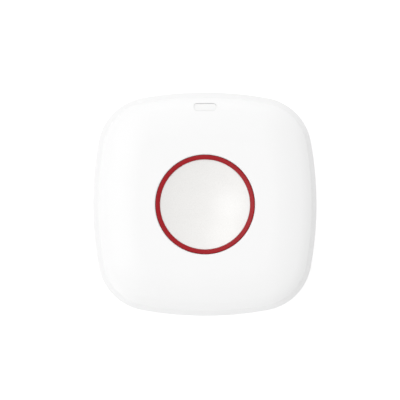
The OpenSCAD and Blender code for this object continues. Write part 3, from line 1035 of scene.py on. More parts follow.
@dataclass(frozen=True)
class FrontCover:
    """The front shell: a band, a shoulder, and a crown with a round opening and a window."""

    outline: BowedSquare
    posts: CasePosts
    seam_z: float
    top_z: float
    wall: float = 1.8
    band_w: float = 1.5
    band_lip: float = 1.0
    band_round: float = 0.06
    lip_round: float = 0.4
    shoulder_r: float = 7.0
    shoulder_slope: float = 45.0
    crown_r: float = 26.0
    crown_slope: float = 18.0
    arc_steps: int = 20
    chamfer: float = 0.3
    aperture_r: float = 13.31
    aperture_round: float = 0.38
    collar_in_r: float = 14.7
    collar_r: float = 16.0
    collar_z: float = 12.2
    key_slot: Point2 = (15.7, 3.2)
    key_slot_top: float = 14.7
    boss_sink: float = 0.45
    bore_top: float = 11.5

    @property
    def under_z(self) -> float:
        """Height of the underside of the flat."""
        return self.top_z - self.wall

    @property
    def band_foot_z(self) -> float:
        """Height where the upright lip turns into the band."""
        return self.seam_z + self.band_lip

    @property
    def band_top_z(self) -> float:
        """Height where the band meets the shoulder."""
        join, edge = (math.cos(math.radians(a)) for a in (self.crown_slope, self.shoulder_slope))
        return self.top_z - self.shoulder_r * (join - edge) - self.crown_r * (1 - join)

    @property
    def bends(self) -> tuple[Bend, Bend]:
        """The shoulder and the crown, which meet at one slope.

        Returns:
            The two arcs, from the band inwards.
        """
        edge, join = math.radians(self.shoulder_slope), math.radians(self.crown_slope)
        shoulder_x = self.band_w + self.shoulder_r * math.sin(edge)
        shoulder_z = self.band_top_z - self.shoulder_r * math.cos(edge)
        crown_x = shoulder_x + (self.crown_r - self.shoulder_r) * math.sin(join)
        return (
            Bend(shoulder_x, shoulder_z, self.shoulder_r, edge, join),
            Bend(crown_x, self.top_z - self.crown_r, self.crown_r, join, 0.0),
        )

    def arcs(self, depth: float) -> list[Corner]:
        """Follows the shoulder and the crown.

        Args:
            depth: How far below the surface.

        Returns:
            The points, from the band inwards.
        """
        points = []
        for bend in self.bends:
            for i in range(self.arc_steps):
                slope = bend.start + (bend.end - bend.start) * i / self.arc_steps
                points.append(bend.at(slope, depth))
        return [*points, self.bends[1].at(0.0, depth)]

    def surface(self, inset: float) -> Point2:
        """Finds the outer surface over a place.

        Args:
            inset: The place's distance from the outline.

        Returns:
            The surface's height there, and its slope in radians.
        """
        shoulder, crown = self.bends
        bend = shoulder if inset < shoulder.at(shoulder.end).across else crown
        slope = math.asin((bend.across - inset) / bend.radius)
        return bend.at(slope).z, slope

    def rings(self) -> list[Ring]:
        """Follows the shell's section round the case.

        Returns:
            Its rings, up the outside, down through the opening and back inside.
        """
        edge, *outer = self.arcs(0.0)
        outside = section_path([
            Corner(self.chamfer, self.seam_z), Corner(0.0, self.seam_z + self.chamfer, FINE_ROUND),
            Corner(0.0, self.band_foot_z, self.lip_round),
            Corner(edge.across, edge.z, self.band_round), *outer,
        ])
        opening = section_path([
            Corner(self.aperture_r + RUN_ON, self.top_z),
            Corner(self.aperture_r, self.top_z, self.aperture_round),
            Corner(self.aperture_r, self.under_z), Corner(self.collar_in_r, self.under_z),
            Corner(self.collar_in_r, self.collar_z, FINE_ROUND),
            Corner(self.collar_r, self.collar_z, FINE_ROUND), Corner(self.collar_r, self.under_z),
        ])
        inside = section_path([
            *reversed(self.arcs(self.wall)), Corner(self.wall, self.band_foot_z),
            Corner(self.wall, self.seam_z),
        ])
        facing = self.outline.ring(outer[-1].across, self.top_z)
        return [
            *(self.outline.ring(inset, z) for inset, z in outside),
            *(circle_facing(facing, radius, z) for radius, z in opening),
            *(self.outline.ring(inset, z) for inset, z in inside),
        ]

    def build(self, window: StatusWindow) -> None:
        """Builds the shell with its bosses and key slots.

        Args:
            window: The window to cut into it.
        """
        cover = skin("front_shell", self.rings(), Ends.JOINED)
        posts, below = self.posts, self.seam_z - THROUGH
        boss_top = self.surface(posts.inset - posts.radius)[0] - self.boss_sink
        bosses = [column(posts.radius, self.seam_z, boss_top, p) for p in posts.places]
        carve(cover, Carve.ADD, bosses)
        bore = posts.screw_r + posts.bore_slack
        carve(cover, Carve.CUT, [
            *(column(bore, below, self.bore_top, p) for p in posts.places),
            *self._key_slots(), window.slot(self.collar_z, self.top_z + THROUGH),
        ])
        carve(cover, Carve.CUT, [window.pocket()])
        fit(cover, SHELL_WHITE, "front_cover")

    def _key_slots(self) -> list[Piece]:
        """Makes the tools that cut the guide collar's key slots.

        Returns:
            One tool for each key.
        """
        reach, width = self.key_slot
        flat = rectangle((self.aperture_r, reach), (-width / 2, width / 2))
        low, top = self.collar_z - THROUGH, self.key_slot_top
        return [prism(flat, low, top, a) for a in KEY_ANGLES]


@dataclass(frozen=True)
class RearHousing:
    """The rear shell: drafted sides, a recess for the mounting plate and the battery bay."""

    outline: BowedSquare
    posts: CasePosts
    mounts: BoardMounts
    seam_z: float
    rim_z: float
    tongue_z: float
    plate_r: float
    hooks: PlateHooks = PlateHooks()
    ceiling_z: float = 2.6
    floor_z: float = 4.2
    draft: float = 1.0
    edge_r: float = 1.6
    edge_run: float = 0.4
    side_foot: float = 0.2
    side_bends: Point2 = (1.0, 2.0)
    chamfer: float = 0.3
    lip: float = 1.0
    tongue: Point2 = (1.92, 2.82)
    corner_round: float = 0.15
    recess_gap: float = 0.2
    recess_round: float = 0.3
    sink_r: float = 12.4
    bore_r: float = 10.9
    ledge: Point2 = (3.6, 4.6)
    bay: Point2 = (12.2, 13.4)
    bay_top: float = 7.05
    head_bore_r: float = 2.2
    screw_slack: float = 0.15
    standoff_r: float = 1.7
    board_bore: Point2 = (0.82, 4.6)
    plate_turn: float = 20.0
    lug_r: float = 12.1
    lug_arc: float = 30.0
    door_turn: float = 40.0
    turn_gap: float = 0.2
    spare_arc: float = 1.0

    def rings(self) -> list[Ring]:
        """Follows the shell's section round the case.

        Returns:
            Its rings, round the middle bore, out over the back and up the sides.
        """
        recess = self.plate_r + self.recess_gap
        (ledge_low, ledge_top), (bay_in, bay_out) = self.ledge, self.bay
        bore = section_path([
            Corner(bay_out + RUN_ON, self.floor_z), Corner(bay_out, self.floor_z, SOFT_ROUND),
            Corner(bay_out, self.bay_top, SOFT_ROUND), Corner(bay_in, self.bay_top, SOFT_ROUND),
            Corner(bay_in, ledge_top), Corner(self.bore_r, ledge_top, FINE_ROUND),
            Corner(self.bore_r, ledge_low, FINE_ROUND), Corner(self.sink_r, ledge_low),
            Corner(self.sink_r, self.ceiling_z, SOFT_ROUND),
            Corner(recess, self.ceiling_z, self.corner_round),
            Corner(recess, self.rim_z, self.recess_round), Corner(recess + RUN_ON, self.rim_z),
        ])
        edge = self.draft + self.edge_r
        (tongue_out, tongue_in), (foot_bend, lip_bend) = self.tongue, self.side_bends
        side = section_path([
            Corner(edge + self.edge_run, self.rim_z), Corner(self.draft, self.rim_z, self.edge_r),
            Corner(self.draft, self.rim_z + self.edge_r + self.side_foot, foot_bend),
            Corner(0.0, self.seam_z - self.lip, lip_bend),
            Corner(0.0, self.seam_z - self.chamfer, FINE_ROUND),
            Corner(self.chamfer, self.seam_z, FINE_ROUND), Corner(tongue_out, self.seam_z),
            Corner(tongue_out, self.tongue_z, self.corner_round),
            Corner(tongue_in, self.tongue_z, self.corner_round), Corner(tongue_in, self.floor_z),
        ])
        facing = self.outline.ring(edge, self.rim_z)
        return [
            *(circle_facing(facing, radius, z) for radius, z in bore),
            *(self.outline.ring(inset, z) for inset, z in side),
        ]

    def build(self) -> None:
        """Builds the shell with its posts, slots and screw seats."""
        shell = skin("rear_shell", self.rings(), Ends.JOINED)
        posts, standoffs = self.posts, self.mounts.places
        foot_z, board_z = self.floor_z - LAP, self.mounts.board_low
        carve(shell, Carve.ADD, [
            *(column(posts.radius, foot_z, self.seam_z, p) for p in posts.places),
            *(column(self.standoff_r, foot_z, board_z, p) for p in standoffs),
        ])
        bore, bore_z = self.board_bore
        slots, wide_ends = self._hook_slots()
        carve(shell, Carve.CUT, [
            *(column(self.head_bore_r, -THROUGH, posts.seat_z, p) for p in posts.places),
            *(column(bore, bore_z, board_z + THROUGH, p) for p in standoffs),
            *self._lug_ways(), *slots,
        ])
        clear, above = posts.screw_r + self.screw_slack, self.seam_z + THROUGH
        carve(shell, Carve.CUT, [*(column(clear, 0.0, above, p) for p in posts.places), *wide_ends])
        fit(shell, SHELL_WHITE, "rear_housing")

    def _hook_slots(self) -> tuple[list[Piece], list[Piece]]:
        """Makes the tools for the slots that the wall plate hooks into.

        Returns:
            The tools that cut a slot for each hook, and those that widen its end.
        """
        hooks = self.hooks
        inner = hooks.radius - self.turn_gap
        neck, head = (hooks.radius + width + self.turn_gap for width in (hooks.neck, hooks.head))
        heights = (self.ceiling_z - LAP, self.floor_z + LAP)
        span = hooks.arc + 2 * self.spare_arc
        long_span = span + self.plate_turn
        slots, wide_ends = [], []
        for a in KEY_ANGLES:
            slots.append(arc_block((inner, neck), heights, a - self.plate_turn / 2, long_span))
            wide_ends.append(arc_block((neck - LAP, head), heights, a - self.plate_turn, span))
        return slots, wide_ends

    def _lug_ways(self) -> list[Piece]:
        """Makes the tools that let the lugs of the door pass the ledge.

        Returns:
            One tool for each lug.
        """
        radii = (self.bore_r - LAP, self.lug_r)
        heights = (self.ceiling_z + LAP, self.ledge[1] + LAP)
        return [arc_block(radii, heights, a - self.door_turn, self.lug_arc) for a in THIRDS]


@dataclass(frozen=True)
class PushButton:
    """The red ring and the dished cap inside it."""

    ring: NodeBox
    cap: NodeBox
    ring_r: float = 13.23
    ring_in_r: float = 12.05
    ring_round: float = 0.22
    ring_fall: float = 0.1
    hem_round: float = 0.05
    flange_t: float = 1.7
    dish_depth: float = 2.2
    dish_steps: int = 40
    cap_round: float = 0.1
    relief: Point2 = (7.85, 10.85)
    relief_depth: float = 0.8

    def build(self) -> None:
        """Builds the ring and the cap."""
        low, top, flange = self.ring.low.z, self.ring.high.z, self.ring.reach
        flange_top = low + self.flange_t
        ring = turned("red_ring", [
            Corner(self.ring_in_r, low, self.hem_round), Corner(flange, low, FINE_ROUND),
            Corner(flange, flange_top, FINE_ROUND), Corner(self.ring_r, flange_top),
            Corner(self.ring_r, top, self.ring_round),
            Corner(self.ring_in_r, top - self.ring_fall, self.ring_round),
        ], closed=True)
        fit(ring, RING_RED, "button_ring", Body.BUTTON)
        cap = turned("dished_cap", self._cap_section(), closed=False)
        fit(cap, CAP_WHITE, "button_cap", Body.BUTTON)

    def _cap_section(self) -> list[Corner]:
        """Draws the cap's section.

        Returns:
            Its corners, from the middle of the underside to that of the dish.
        """
        low, edge_z, radius = self.cap.low.z, self.cap.high.z, self.cap.reach
        relief_z = low + self.relief_depth
        inner, outer = self.relief
        dish_r = (radius**2 + self.dish_depth**2) / (2 * self.dish_depth)
        centre_z = edge_z - self.dish_depth + dish_r
        dish = []
        for i in range(1, self.dish_steps + 1):
            across = radius * (1 - i / self.dish_steps)
            dish.append(Corner(across, centre_z - math.sqrt(dish_r**2 - across**2)))
        return [
            Corner(0.0, low), Corner(inner, low, FINE_ROUND), Corner(inner, relief_z),
            Corner(outer, relief_z), Corner(outer, low, FINE_ROUND),
            Corner(radius, low, FINE_ROUND), Corner(radius, edge_z, self.cap_round), *dish,
        ]


@dataclass(frozen=True)
class ButtonCarrier:
    """The keyed disc under the ring and cap, with a ring of holes and a pusher for the switch."""

    carrier: NodeBox
    disc_r: float = 14.4
    disc_t: float = 0.9
    edge_round: float = 0.12
    pusher_r: float = 1.5
    pusher_round: float = 0.2
    key_size: Point2 = (2.4, 2.8)
    key_rounds: Point2 = (0.25, 0.12)
    key_sink: float = 0.02
    hole_r: float = 1.8
    hole_distance: float = 11.2
    holes: int = 6

    def build(self) -> None:
        """Builds the carrier."""
        low, top = self.carrier.low.z, self.carrier.high.z
        under = top - self.disc_t
        disc = turned("keyed_carrier", [
            Corner(0.0, low), Corner(self.pusher_r, low, self.pusher_round),
            Corner(self.pusher_r, under, self.pusher_round),
            Corner(self.disc_r, under, self.edge_round),
            Corner(self.disc_r, top, self.edge_round), Corner(0.0, top),
        ], closed=False)
        heights = (under + self.key_sink, top - self.key_sink)
        reach = -self.carrier.low.y - self.key_size[0] / 2
        carve(disc, Carve.ADD, [
            pillow("key", self.key_size, heights, self.key_rounds, reach, a) for a in KEY_ANGLES
        ])
        places = [polar(self.hole_distance, 360 * i / self.holes) for i in range(self.holes)]
        carve(disc, Carve.CUT, [column(self.hole_r, under - LAP, top + LAP, p) for p in places])
        fit(disc, CAP_WHITE, "button_carrier", Body.BUTTON)


@dataclass(frozen=True)
class WallPlate:
    """The round mounting plate with its hooks, screw holes and turning arrow."""

    plate: NodeBox
    hooks: PlateHooks = PlateHooks()
    arrow: TurningArrow = TurningArrow(radius=18.4, start=100.0, end=72.0, width=0.8)
    arrow_depth: float = 0.4
    thickness: float = 2.4
    hole_r: float = 13.2
    edge_round: float = 0.4
    screw_distance: float = 18.5
    screw_r: float = 2.1
    sink_r: float = 3.5
    straight: float = 1.0

    def build(self) -> None:
        """Builds the plate."""
        thick, hooks = self.thickness, self.hooks
        radii = (self.hole_r, self.plate.reach)
        plate = washer("wall_plate", radii, (0.0, thick), self.edge_round)
        top, foot, root = self.plate.high.z, thick - LAP, hooks.radius
        neck, head = root + hooks.neck, root + hooks.head
        hook = (
            (root, foot), (neck, foot), (neck, hooks.under_z), (head, hooks.under_z), (head, top),
            (root, top),
        )
        carve(plate, Carve.ADD, [swept(hook, a, hooks.arc) for a in KEY_ANGLES])
        places = [(way * self.screw_distance, 0.0) for way in (-1, 1)]
        holes = [column(self.screw_r, -THROUGH, thick + THROUGH, p) for p in places]
        carve(plate, Carve.CUT, holes)
        slope = (self.sink_r - self.screw_r) / (thick - self.straight)
        mouth = self.sink_r + slope * LAP
        sinks = [column(self.screw_r, self.straight, thick + LAP, p, mouth) for p in places]
        carve(plate, Carve.CUT, sinks)
        carve(plate, Carve.CUT, self.arrow.tools(-THROUGH, self.arrow_depth))
        fit(plate, SHELL_WHITE, "mounting_plate", Body.PLATE)


@dataclass(frozen=True)
class CoinDoor:
    """The round battery door, which a coin turns, and its flat seal."""

    door: NodeBox
    seal: NodeBox
    arrow: TurningArrow = TurningArrow(radius=8.6, start=110.0, end=74.0, width=0.7)
    arrow_depth: float = 0.35
    flange_t: float = 0.6
    cup_r: float = 10.7
    cup_wall: float = 0.5
    cup_floor_z: float = 4.28
    lug_r: float = 11.9
    lug_h: float = 0.8
    lug_arc: float = 24.0
    slot_l: float = 14.0
    slot_w: float = 2.0
    slot_depth: float = 0.9
    seal_in_r: float = 10.75

    def build(self) -> None:
        """Builds the door."""
        low, top, flange = self.door.low.z, self.door.high.z, self.door.reach
        inner, flange_top = self.cup_r - self.cup_wall, low + self.flange_t
        door = turned("coin_door", [
            Corner(0.0, low), Corner(flange, low, SOFT_ROUND),
            Corner(flange, flange_top, FINE_ROUND), Corner(self.cup_r, flange_top),
            Corner(self.cup_r, top, FINE_ROUND), Corner(inner, top, FINE_ROUND),
            Corner(inner, self.cup_floor_z), Corner(0.0, self.cup_floor_z),
        ], closed=False)
        grip, heights = (inner + self.cup_wall / 2, self.lug_r), (top - self.lug_h, top)
        carve(door, Carve.ADD, [arc_block(grip, heights, a, self.lug_arc) for a in THIRDS])
        arrow = self.arrow.tools(low - THROUGH, low + self.arrow_depth)
        carve(door, Carve.CUT, [self._coin(low), *arrow])
        fit(door, SHELL_WHITE, "battery_door", Body.DOOR)

    def build_seal(self) -> None:
        """Builds the seal."""
        radii, heights = (self.seal_in_r, self.seal.reach), (self.seal.low.z, self.seal.high.z)
        fit(washer("flat_seal", radii, heights, FINE_ROUND), SEAL_RUBBER, "door_seal", Body.DOOR)

    def _coin(self, low: float) -> Piece:
        """Makes the coin that cuts the slot.

        Args:
            low: Height of the door's face.

        Returns:
            The coin, standing on edge in the face.
        """
        radius = (self.slot_l**2 / 4 + self.slot_depth**2) / (2 * self.slot_depth)
        middle_z = low + self.slot_depth - radius
        return strip("coin", [(x, middle_z + z) for x, z, _ in circle(radius, 0.0)], self.slot_w)


@dataclass(frozen=True)
class SnapDome:
    """The metal dome that snaps under the switch's stem."""

    dome: NodeBox
    thickness: float = 0.1
    steps: int = 12
    pressed_share: float = 0.005

    def build(self) -> None:
        """Builds the dome and gives it its own copy of its mesh."""
        low, top = self.dome.low.z, self.dome.high.z
        rise, radius = self.dome.height, self.dome.reach
        big_r = (radius**2 + rise**2) / (2 * rise)
        outer = self._arc(big_r, radius, top - big_r)
        inner_r = big_r - self.thickness
        inner_reach = math.sqrt(inner_r**2 - (low - top + big_r) ** 2)
        inner = self._arc(inner_r, inner_reach, top - big_r)
        dome = turned("snap_dome", [*inner, *reversed(outer)], closed=False)
        fit(dome, SPRING_BRASS, "switch_dome")
        squash_with_button(dome)

    def _arc(self, big_r: float, radius: float, centre_z: float) -> list[Corner]:
        """Returns one face of the dome, from its middle to its rim."""
        reaches = [radius * i / self.steps for i in range(self.steps + 1)]
        return [Corner(reach, centre_z + math.sqrt(big_r**2 - reach**2)) for reach in reaches]


class GeometryTree:
    """A Geometry Nodes tree with named inputs, run once to make a plain piece."""

    def __init__(self, name: str) -> None:
        """Starts an empty tree.

        Args:
            name: Name of the tree and of the piece that it makes.
        """
        self.name = name
        self.tree = bpy.data.node_groups.new(name, "GeometryNodeTree")
        self.tree.interface.new_socket(
            "Geometry", in_out="OUTPUT", socket_type="NodeSocketGeometry"
        )
        self.values: dict[str, object] = {}
        self.entry = self.tree.nodes.new("NodeGroupInput")
        self.sheet = Sheet(self.tree)
        self.add = self.sheet.out

    def entry_socket(self, name: str, kind: str, value: object) -> Socket:
        """Adds a named input.

        Args:
            name: Name of the input.
            kind: Blender's name for its type of socket.
            value: What the modifier sets it to.

        Returns:
            The socket that carries the input into the tree.
        """
        item = self.tree.interface.new_socket(name, in_out="INPUT", socket_type=kind)
        self.values[item.identifier] = value
        return self.entry.outputs[name]

    def number(self, name: str, value: float) -> Socket:
        """Adds a plain number as a named input."""
        return self.entry_socket(name, "NodeSocketFloat", value)

    def count(self, name: str, value: int) -> Socket:
        """Adds a whole number as a named input."""
        return self.entry_socket(name, "NodeSocketInt", value)

    def length(self, name: str, value: float) -> Socket:
        """Adds a length as a named input."""
        return self.number(name, value * MM)

    def angle(self, name: str, degrees: float) -> Socket:
        """Adds an angle as a named input."""
        return self.number(name, math.radians(degrees))

    def place(self, name: str, point: Sequence[float]) -> Socket:
        """Adds a place as a named input."""
        return self.entry_socket(name, "NodeSocketVector", [value * MM for value in point])

    def shape(self, name: str, piece: Piece) -> Socket:
        """Adds a piece as a named input and returns its geometry."""
        source = self.entry_socket(name, "NodeSocketObject", piece)
        return self.add("GeometryNodeObjectInfo", {"Object": source}, "Geometry")

    def about_z(self, angle: Socket) -> Socket:
        """Returns the turn about Z by an angle."""
        return self.add("ShaderNodeCombineXYZ", {"Z": angle})

    def moved(self, geometry: Socket, how: str, by: Socket) -> Socket:
        """Returns geometry moved by a Translation or a Rotation."""
        return self.add("GeometryNodeTransform", {"Geometry": geometry, how: by})

    def copies(self, points: Socket, shape: Socket, spin: Socket | None = None) -> Socket:
        """Sets copies of a shape on points.

        Args:
            points: The points.
            shape: The shape.
            spin: The turn of each copy, if they are turned.

        Returns:
            The copies.
        """
        inputs: Inputs = {"Points": points, "Instance": shape}
        if spin is not None:
            inputs["Rotation"] = spin
        return self.add("GeometryNodeInstanceOnPoints", inputs)

    def drawn(self, path: Socket, profile: Socket) -> Socket:
        """Draws a closed solid along a path.

        Args:
            path: The curve to follow.
            profile: The solid's section.

        Returns:
            The solid.
        """
        return self.add("GeometryNodeCurveToMesh", {
            "Curve": path, "Profile Curve": profile, "Fill Caps": True,
        })

    def run(self, geometry: Socket, finish: Finish) -> Piece:
        """Ends the tree, runs it and keeps what it makes as a plain mesh.

        Args:
            geometry: The last geometry of the tree.
            finish: The finish that the tree sets.

        Returns:
            The new piece, which has the tree's name.
        """
        material = self.entry_socket("Finish", "NodeSocketMaterial", finish.material())
        real = self.add("GeometryNodeRealizeInstances", {"Geometry": geometry})
        dressed = self.add("GeometryNodeSetMaterial", {"Geometry": real, "Material": material})
        self.sheet.node("NodeGroupOutput", {"Geometry": dressed})
        piece = to_piece(self.name, bmesh.new())
        step = piece.modifiers.new("nodes", "NODES")
        step.node_group = self.tree
        for identifier, value in self.values.items():
            step[identifier] = value
        settle(piece)
        return piece


@dataclass(frozen=True)
class ScrewSet:
    """Equal pan-head screws on a circle, each with its cross recess left at its own angle.

    The head's rounding is in head heights. The recess has half its arms' length and width in
    shank radii, and its depth in head heights.
    """

    name: str
    node: str
    count: int
    circle_r: float
    first_angle: float
    seat_z: float
    shank_r: float
    shank_len: float
    head_r: float
    head_h: float
    head_down: bool
    head_round: float = 0.55
    recess: Point3 = (1.5, 0.3, 0.55)
    seed: int = 7

    def build(self) -> None:
        """Builds the screws by Geometry Nodes."""
        screw = self._screw()
        tree = GeometryTree(self.name)
        shape = tree.shape("Screw", screw)
        ring = tree.add("GeometryNodeMeshCircle", {
            "Vertices": tree.count("Count", self.count),
            "Radius": tree.length("Circle radius", self.circle_r),
        })
        first = tree.about_z(tree.angle("First angle", self.first_angle))
        chance = tree.add("FunctionNodeRandomValue", {
            "Seed": tree.count("Seed", self.seed), 3: math.tau,
        }, 1, data_type="FLOAT")
        copies = tree.copies(tree.moved(ring, "Rotation", first), shape, tree.about_z(chance))
        screws = tree.run(copies, BRIGHT_STEEL)
        bpy.data.objects.remove(screw)
        fit(screws, BRIGHT_STEEL, self.node)

    def _screw(self) -> Piece:
        """Makes one screw with its rounded head and cross recess.

        Returns:
            The screw, on the Z axis.
        """
        way = -1 if self.head_down else 1
        top, tip = self.seat_z + way * self.head_h, self.seat_z - way * self.shank_len
        screw = turned("screw", [
            Corner(0.0, tip), Corner(self.shank_r, tip, SOFT_ROUND),
            Corner(self.shank_r, self.seat_z), Corner(self.head_r, self.seat_z, FINE_ROUND),
            Corner(self.head_r, top, self.head_round * self.head_h), Corner(0.0, top),
        ], closed=False)
        arm_l, arm_w, depth = self.recess
        half_l, half_w = arm_l * self.shank_r, arm_w * self.shank_r
        low, high = sorted((top - way * depth * self.head_h, top + way * THROUGH))
        arm = rectangle((-half_l, half_l), (-half_w, half_w))
        for a in (0, 90):
            carve(screw, Carve.CUT, [prism(arm, low, high, a)])
        return screw


@dataclass(frozen=True)
class WoundWire:
    """A wire wound into an open coil."""

    name: str
    node: str
    coil: NodeBox
    finish: Finish
    turns: float
    wire: float = 0.5
    rings_per_turn: int = 64
    sides: int = 12

    def build(self) -> Piece:
        """Winds the coil by Geometry Nodes.

        Returns:
            The coil.
        """
        middle, half = self.coil.middle, self.wire / 2
        coil_r = (self.coil.high.y - self.coil.low.y) / 2 - half
        tree = GeometryTree(self.name)
        radius = tree.length("Coil radius", coil_r)
        spiral = tree.add("GeometryNodeCurveSpiral", {
            "Resolution": self.rings_per_turn, "Rotations": tree.number("Turns", self.turns),
            "Start Radius": radius, "End Radius": radius,
            "Height": tree.length("Rise", self.coil.height - self.wire),
        })
        profile = tree.add("GeometryNodeCurvePrimitiveCircle", {
            "Resolution": self.sides, "Radius": tree.length("Wire radius", half),
        })
        foot = tree.place("Foot", (middle.x, middle.y, self.coil.low.z + half))
        coil = tree.run(tree.moved(tree.drawn(spiral, profile), "Translation", foot), self.finish)
        fit(coil, self.finish, self.node)
        return coil


@dataclass(frozen=True)
class CopySet:
    """Copies of a small shape in a grid, the grid turned in steps about Z and set in its place."""

    counts: tuple[int, int] = (1, 1)
    pitch: Point2 = (0.0, 0.0)
    turns: int = 1
    step: float = 0.0
    angle: float = 0.0
    place: Point2 = ORIGIN

    def make(self, name: str, shape: Piece, finish: Finish) -> Piece:
        """Copies a shape by Geometry Nodes.

        Args:
            name: Name of the new piece.
            shape: The shape to copy, which is used up.
            finish: The finish of the copies.

        Returns:
            The copies, as one piece.
        """
        tree = GeometryTree(name)
        sizes: Inputs = {}
        for axis, count, pitch in zip("XY", self.counts, self.pitch):
            sizes[f"Vertices {axis}"] = tree.count(f"Count {axis}", count)
            sizes[f"Size {axis}"] = tree.length(f"Size {axis}", (count - 1) * pitch)
        grid = tree.add("GeometryNodeMeshGrid", sizes)
        rows = tree.copies(grid, tree.shape("Shape", shape))
        turns = tree.count("Turns", self.turns)
        hub = tree.add("GeometryNodeMeshLine", {"Count": turns, "Offset": (0.0, 0.0, 0.0)})
        lie = tree.add("ShaderNodeMath", {
            0: tree.add("GeometryNodeInputIndex"), 1: tree.angle("Step", self.step),
            2: tree.angle("Angle", self.angle),
        }, operation="MULTIPLY_ADD")
        spun = tree.copies(hub, rows, tree.about_z(lie))
        place = tree.place("Place", (*self.place, 0.0))
        made = tree.run(tree.moved(spun, "Translation", place), finish)
        bpy.data.objects.remove(shape)
        return made


@dataclass(frozen=True)
class ControllerChip:
    """The microcontroller: a moulded body on bent leads, with a dimple beside its first lead."""

    board_z: float
    distance: float = 19.3
    angle: float = 245.0
    reach: float = 2.5
    body_w: float = 3.8
    heights: Point2 = (0.1, 0.9)
    rounds: Point2 = (0.15, 0.1)
    dimple_r: float = 0.28
    dimple_depth: float = 0.06
    dimple_inset: float = 0.6
    lead_count: int = 7
    lead_pitch: float = 0.5
    lead_w: float = 0.22
    lead_t: float = 0.1
    knee: float = 0.2

    def build(self) -> None:
        """Builds the body and its leads."""
        low, high = (self.board_z + z for z in self.heights)
        size = (self.body_w, self.body_w)
        body = pillow(
            "controller_body", size, (low, high), self.rounds, self.distance, self.angle
        )
        corner = self.body_w / 2 - self.dimple_inset
        spot = turn((self.distance - corner, corner), self.angle)
        dimple = column(self.dimple_r, high - self.dimple_depth, high + THROUGH, spot)
        carve(body, Carve.CUT, [dimple])
        fit(body, DARK_PLASTIC, "microcontroller")
        sides = CopySet(
            (1, self.lead_count), (0.0, self.lead_pitch), turns=4, step=90.0, angle=self.angle,
            place=polar(self.distance, self.angle),
        )
        leads = sides.make("controller_leads", self._lead(), BRIGHT_STEEL)
        fit(leads, BRIGHT_STEEL, "microcontroller")

    def _lead(self) -> Piece:
        """Makes one lead of the body's +X side.

        Returns:
            The lead, from inside the body down to its foot on the board.
        """
        side, foot, t = self.body_w / 2, self.board_z, self.lead_t
        bend, heel = side + self.knee, side + self.knee + t
        top = foot + sum(self.heights) / 2
        return strip("lead", (
            (side - t, top), (bend, top), (heel, foot + t), (self.reach, foot + t),
            (self.reach, foot), (heel - t, foot), (bend - t, top - t), (side - t, top - t),
        ), self.lead_w)


@dataclass(frozen=True)
class ChipRow:
    """A row of equal chip parts round the guide collar, with a metal cap on both ends of each."""

    name: str
    node: str
    finish: Finish
    board_z: float
    height: float
    first_angle: float
    size: Point2 = (1.6, 0.8)
    cap_l: float = 0.35
    sink: float = 0.03
    rounds: Point2 = (0.08, 0.05)

    def build(self) -> None:
        """Builds the row's bodies and end caps."""
        low, top = self.board_z, self.board_z + self.height
        length, width = self.size
        inner = (length - 2 * self.sink, width - 2 * self.sink)
        heights = (low + self.sink, top - self.sink)
        body = pillow("body", inner, heights, self.rounds, PART_CIRCLE_R)
        reach = (length - self.cap_l) / 2
        ends = merged([
            pillow("cap", (self.cap_l, width), (low, top), self.rounds, PART_CIRCLE_R + out)
            for out in (-reach, reach)
        ])
        row = CopySet(turns=ROW_COUNT, step=ROW_STEP, angle=self.first_angle)
        for kind, shape, finish in (("bodies", body, self.finish), ("ends", ends, BRIGHT_STEEL)):
            fit(row.make(f"{self.name}_{kind}", shape, finish), finish, self.node)


@dataclass(frozen=True)
class ShieldCan:
    """The radio's metal can, with a grid of vents in its lid and gaps between its feet."""

    board_z: float
    distance: float = 20.8
    angle: float = 160.0
    size: Point2 = (8.0, 9.0)
    height: float = 1.6
    rounds: Point2 = (0.6, 0.3)
    vents: tuple[int, int] = (4, 5)
    vent_pitch: Point2 = (1.4, 1.4)
    vent_r: float = 0.4
    vent_depth: float = 0.25
    gaps: int = 3
    gap_pitch: float = 2.4
    gap_l: float = 1.2
    gap_h: float = 0.3
    gap_depth: float = 0.25

    def build(self) -> None:
        """Builds the can."""
        top, place = self.board_z + self.height, polar(self.distance, self.angle)
        heights = (self.board_z, top)
        can = pillow("shield_can", self.size, heights, self.rounds, self.distance, self.angle)
        vents = CopySet(self.vents, self.vent_pitch, angle=self.angle, place=place)
        vent = column(self.vent_r, top - self.vent_depth, top + LAP)
        tools = [vents.make("vents", vent, BRIGHT_STEEL)]
        for quarter, side in zip((0, 90), self.size):
            gaps = CopySet(
                (1, self.gaps), (0.0, self.gap_pitch), turns=2, step=180.0,
                angle=self.angle + quarter, place=place,
            )
            tools.append(gaps.make("gaps", self._gap(side / 2), BRIGHT_STEEL))
        carve(can, Carve.CUT, tools)
        fit(can, BRIGHT_STEEL, "radio_shield")

    def _gap(self, reach: float) -> Piece:
        """Makes the tool that cuts a gap between two feet of the +X side.

        Args:
            reach: Distance of that side from the can's middle.

        Returns:
            The tool.
        """
        half = self.gap_l / 2
        flat = rectangle((reach - self.gap_depth, reach + LAP), (-half, half))
        return prism(flat, self.board_z - LAP, self.board_z + self.gap_h)


@dataclass(frozen=True)
class LiddedChip:
    """A small part of the board with a narrower, rounded lid on its base."""

    name: str
    node: str
    finish: Finish
    board_z: float
    distance: float
    angle: float
    size: Point2
    height: float = 0.8
    base_h: float = 0.35
    lid_inset: float = 0.15
    base_rounds: Point2 = (0.15, 0.04)
    lid_rounds: Point2 = (0.35, 0.2)

    def build(self) -> None:
        """Builds the part."""
        low, ledge = self.board_z, self.board_z + self.base_h
        spot = (self.distance, self.angle)
        chip = pillow(self.name, self.size, (low, ledge), self.base_rounds, *spot)
        length, width = (side - 2 * self.lid_inset for side in self.size)
        heights = (ledge - self.base_h / 2, low + self.height)
        carve(chip, Carve.ADD, [pillow("lid", (length, width), heights, self.lid_rounds, *spot)])
        fit(chip, self.finish, self.node)


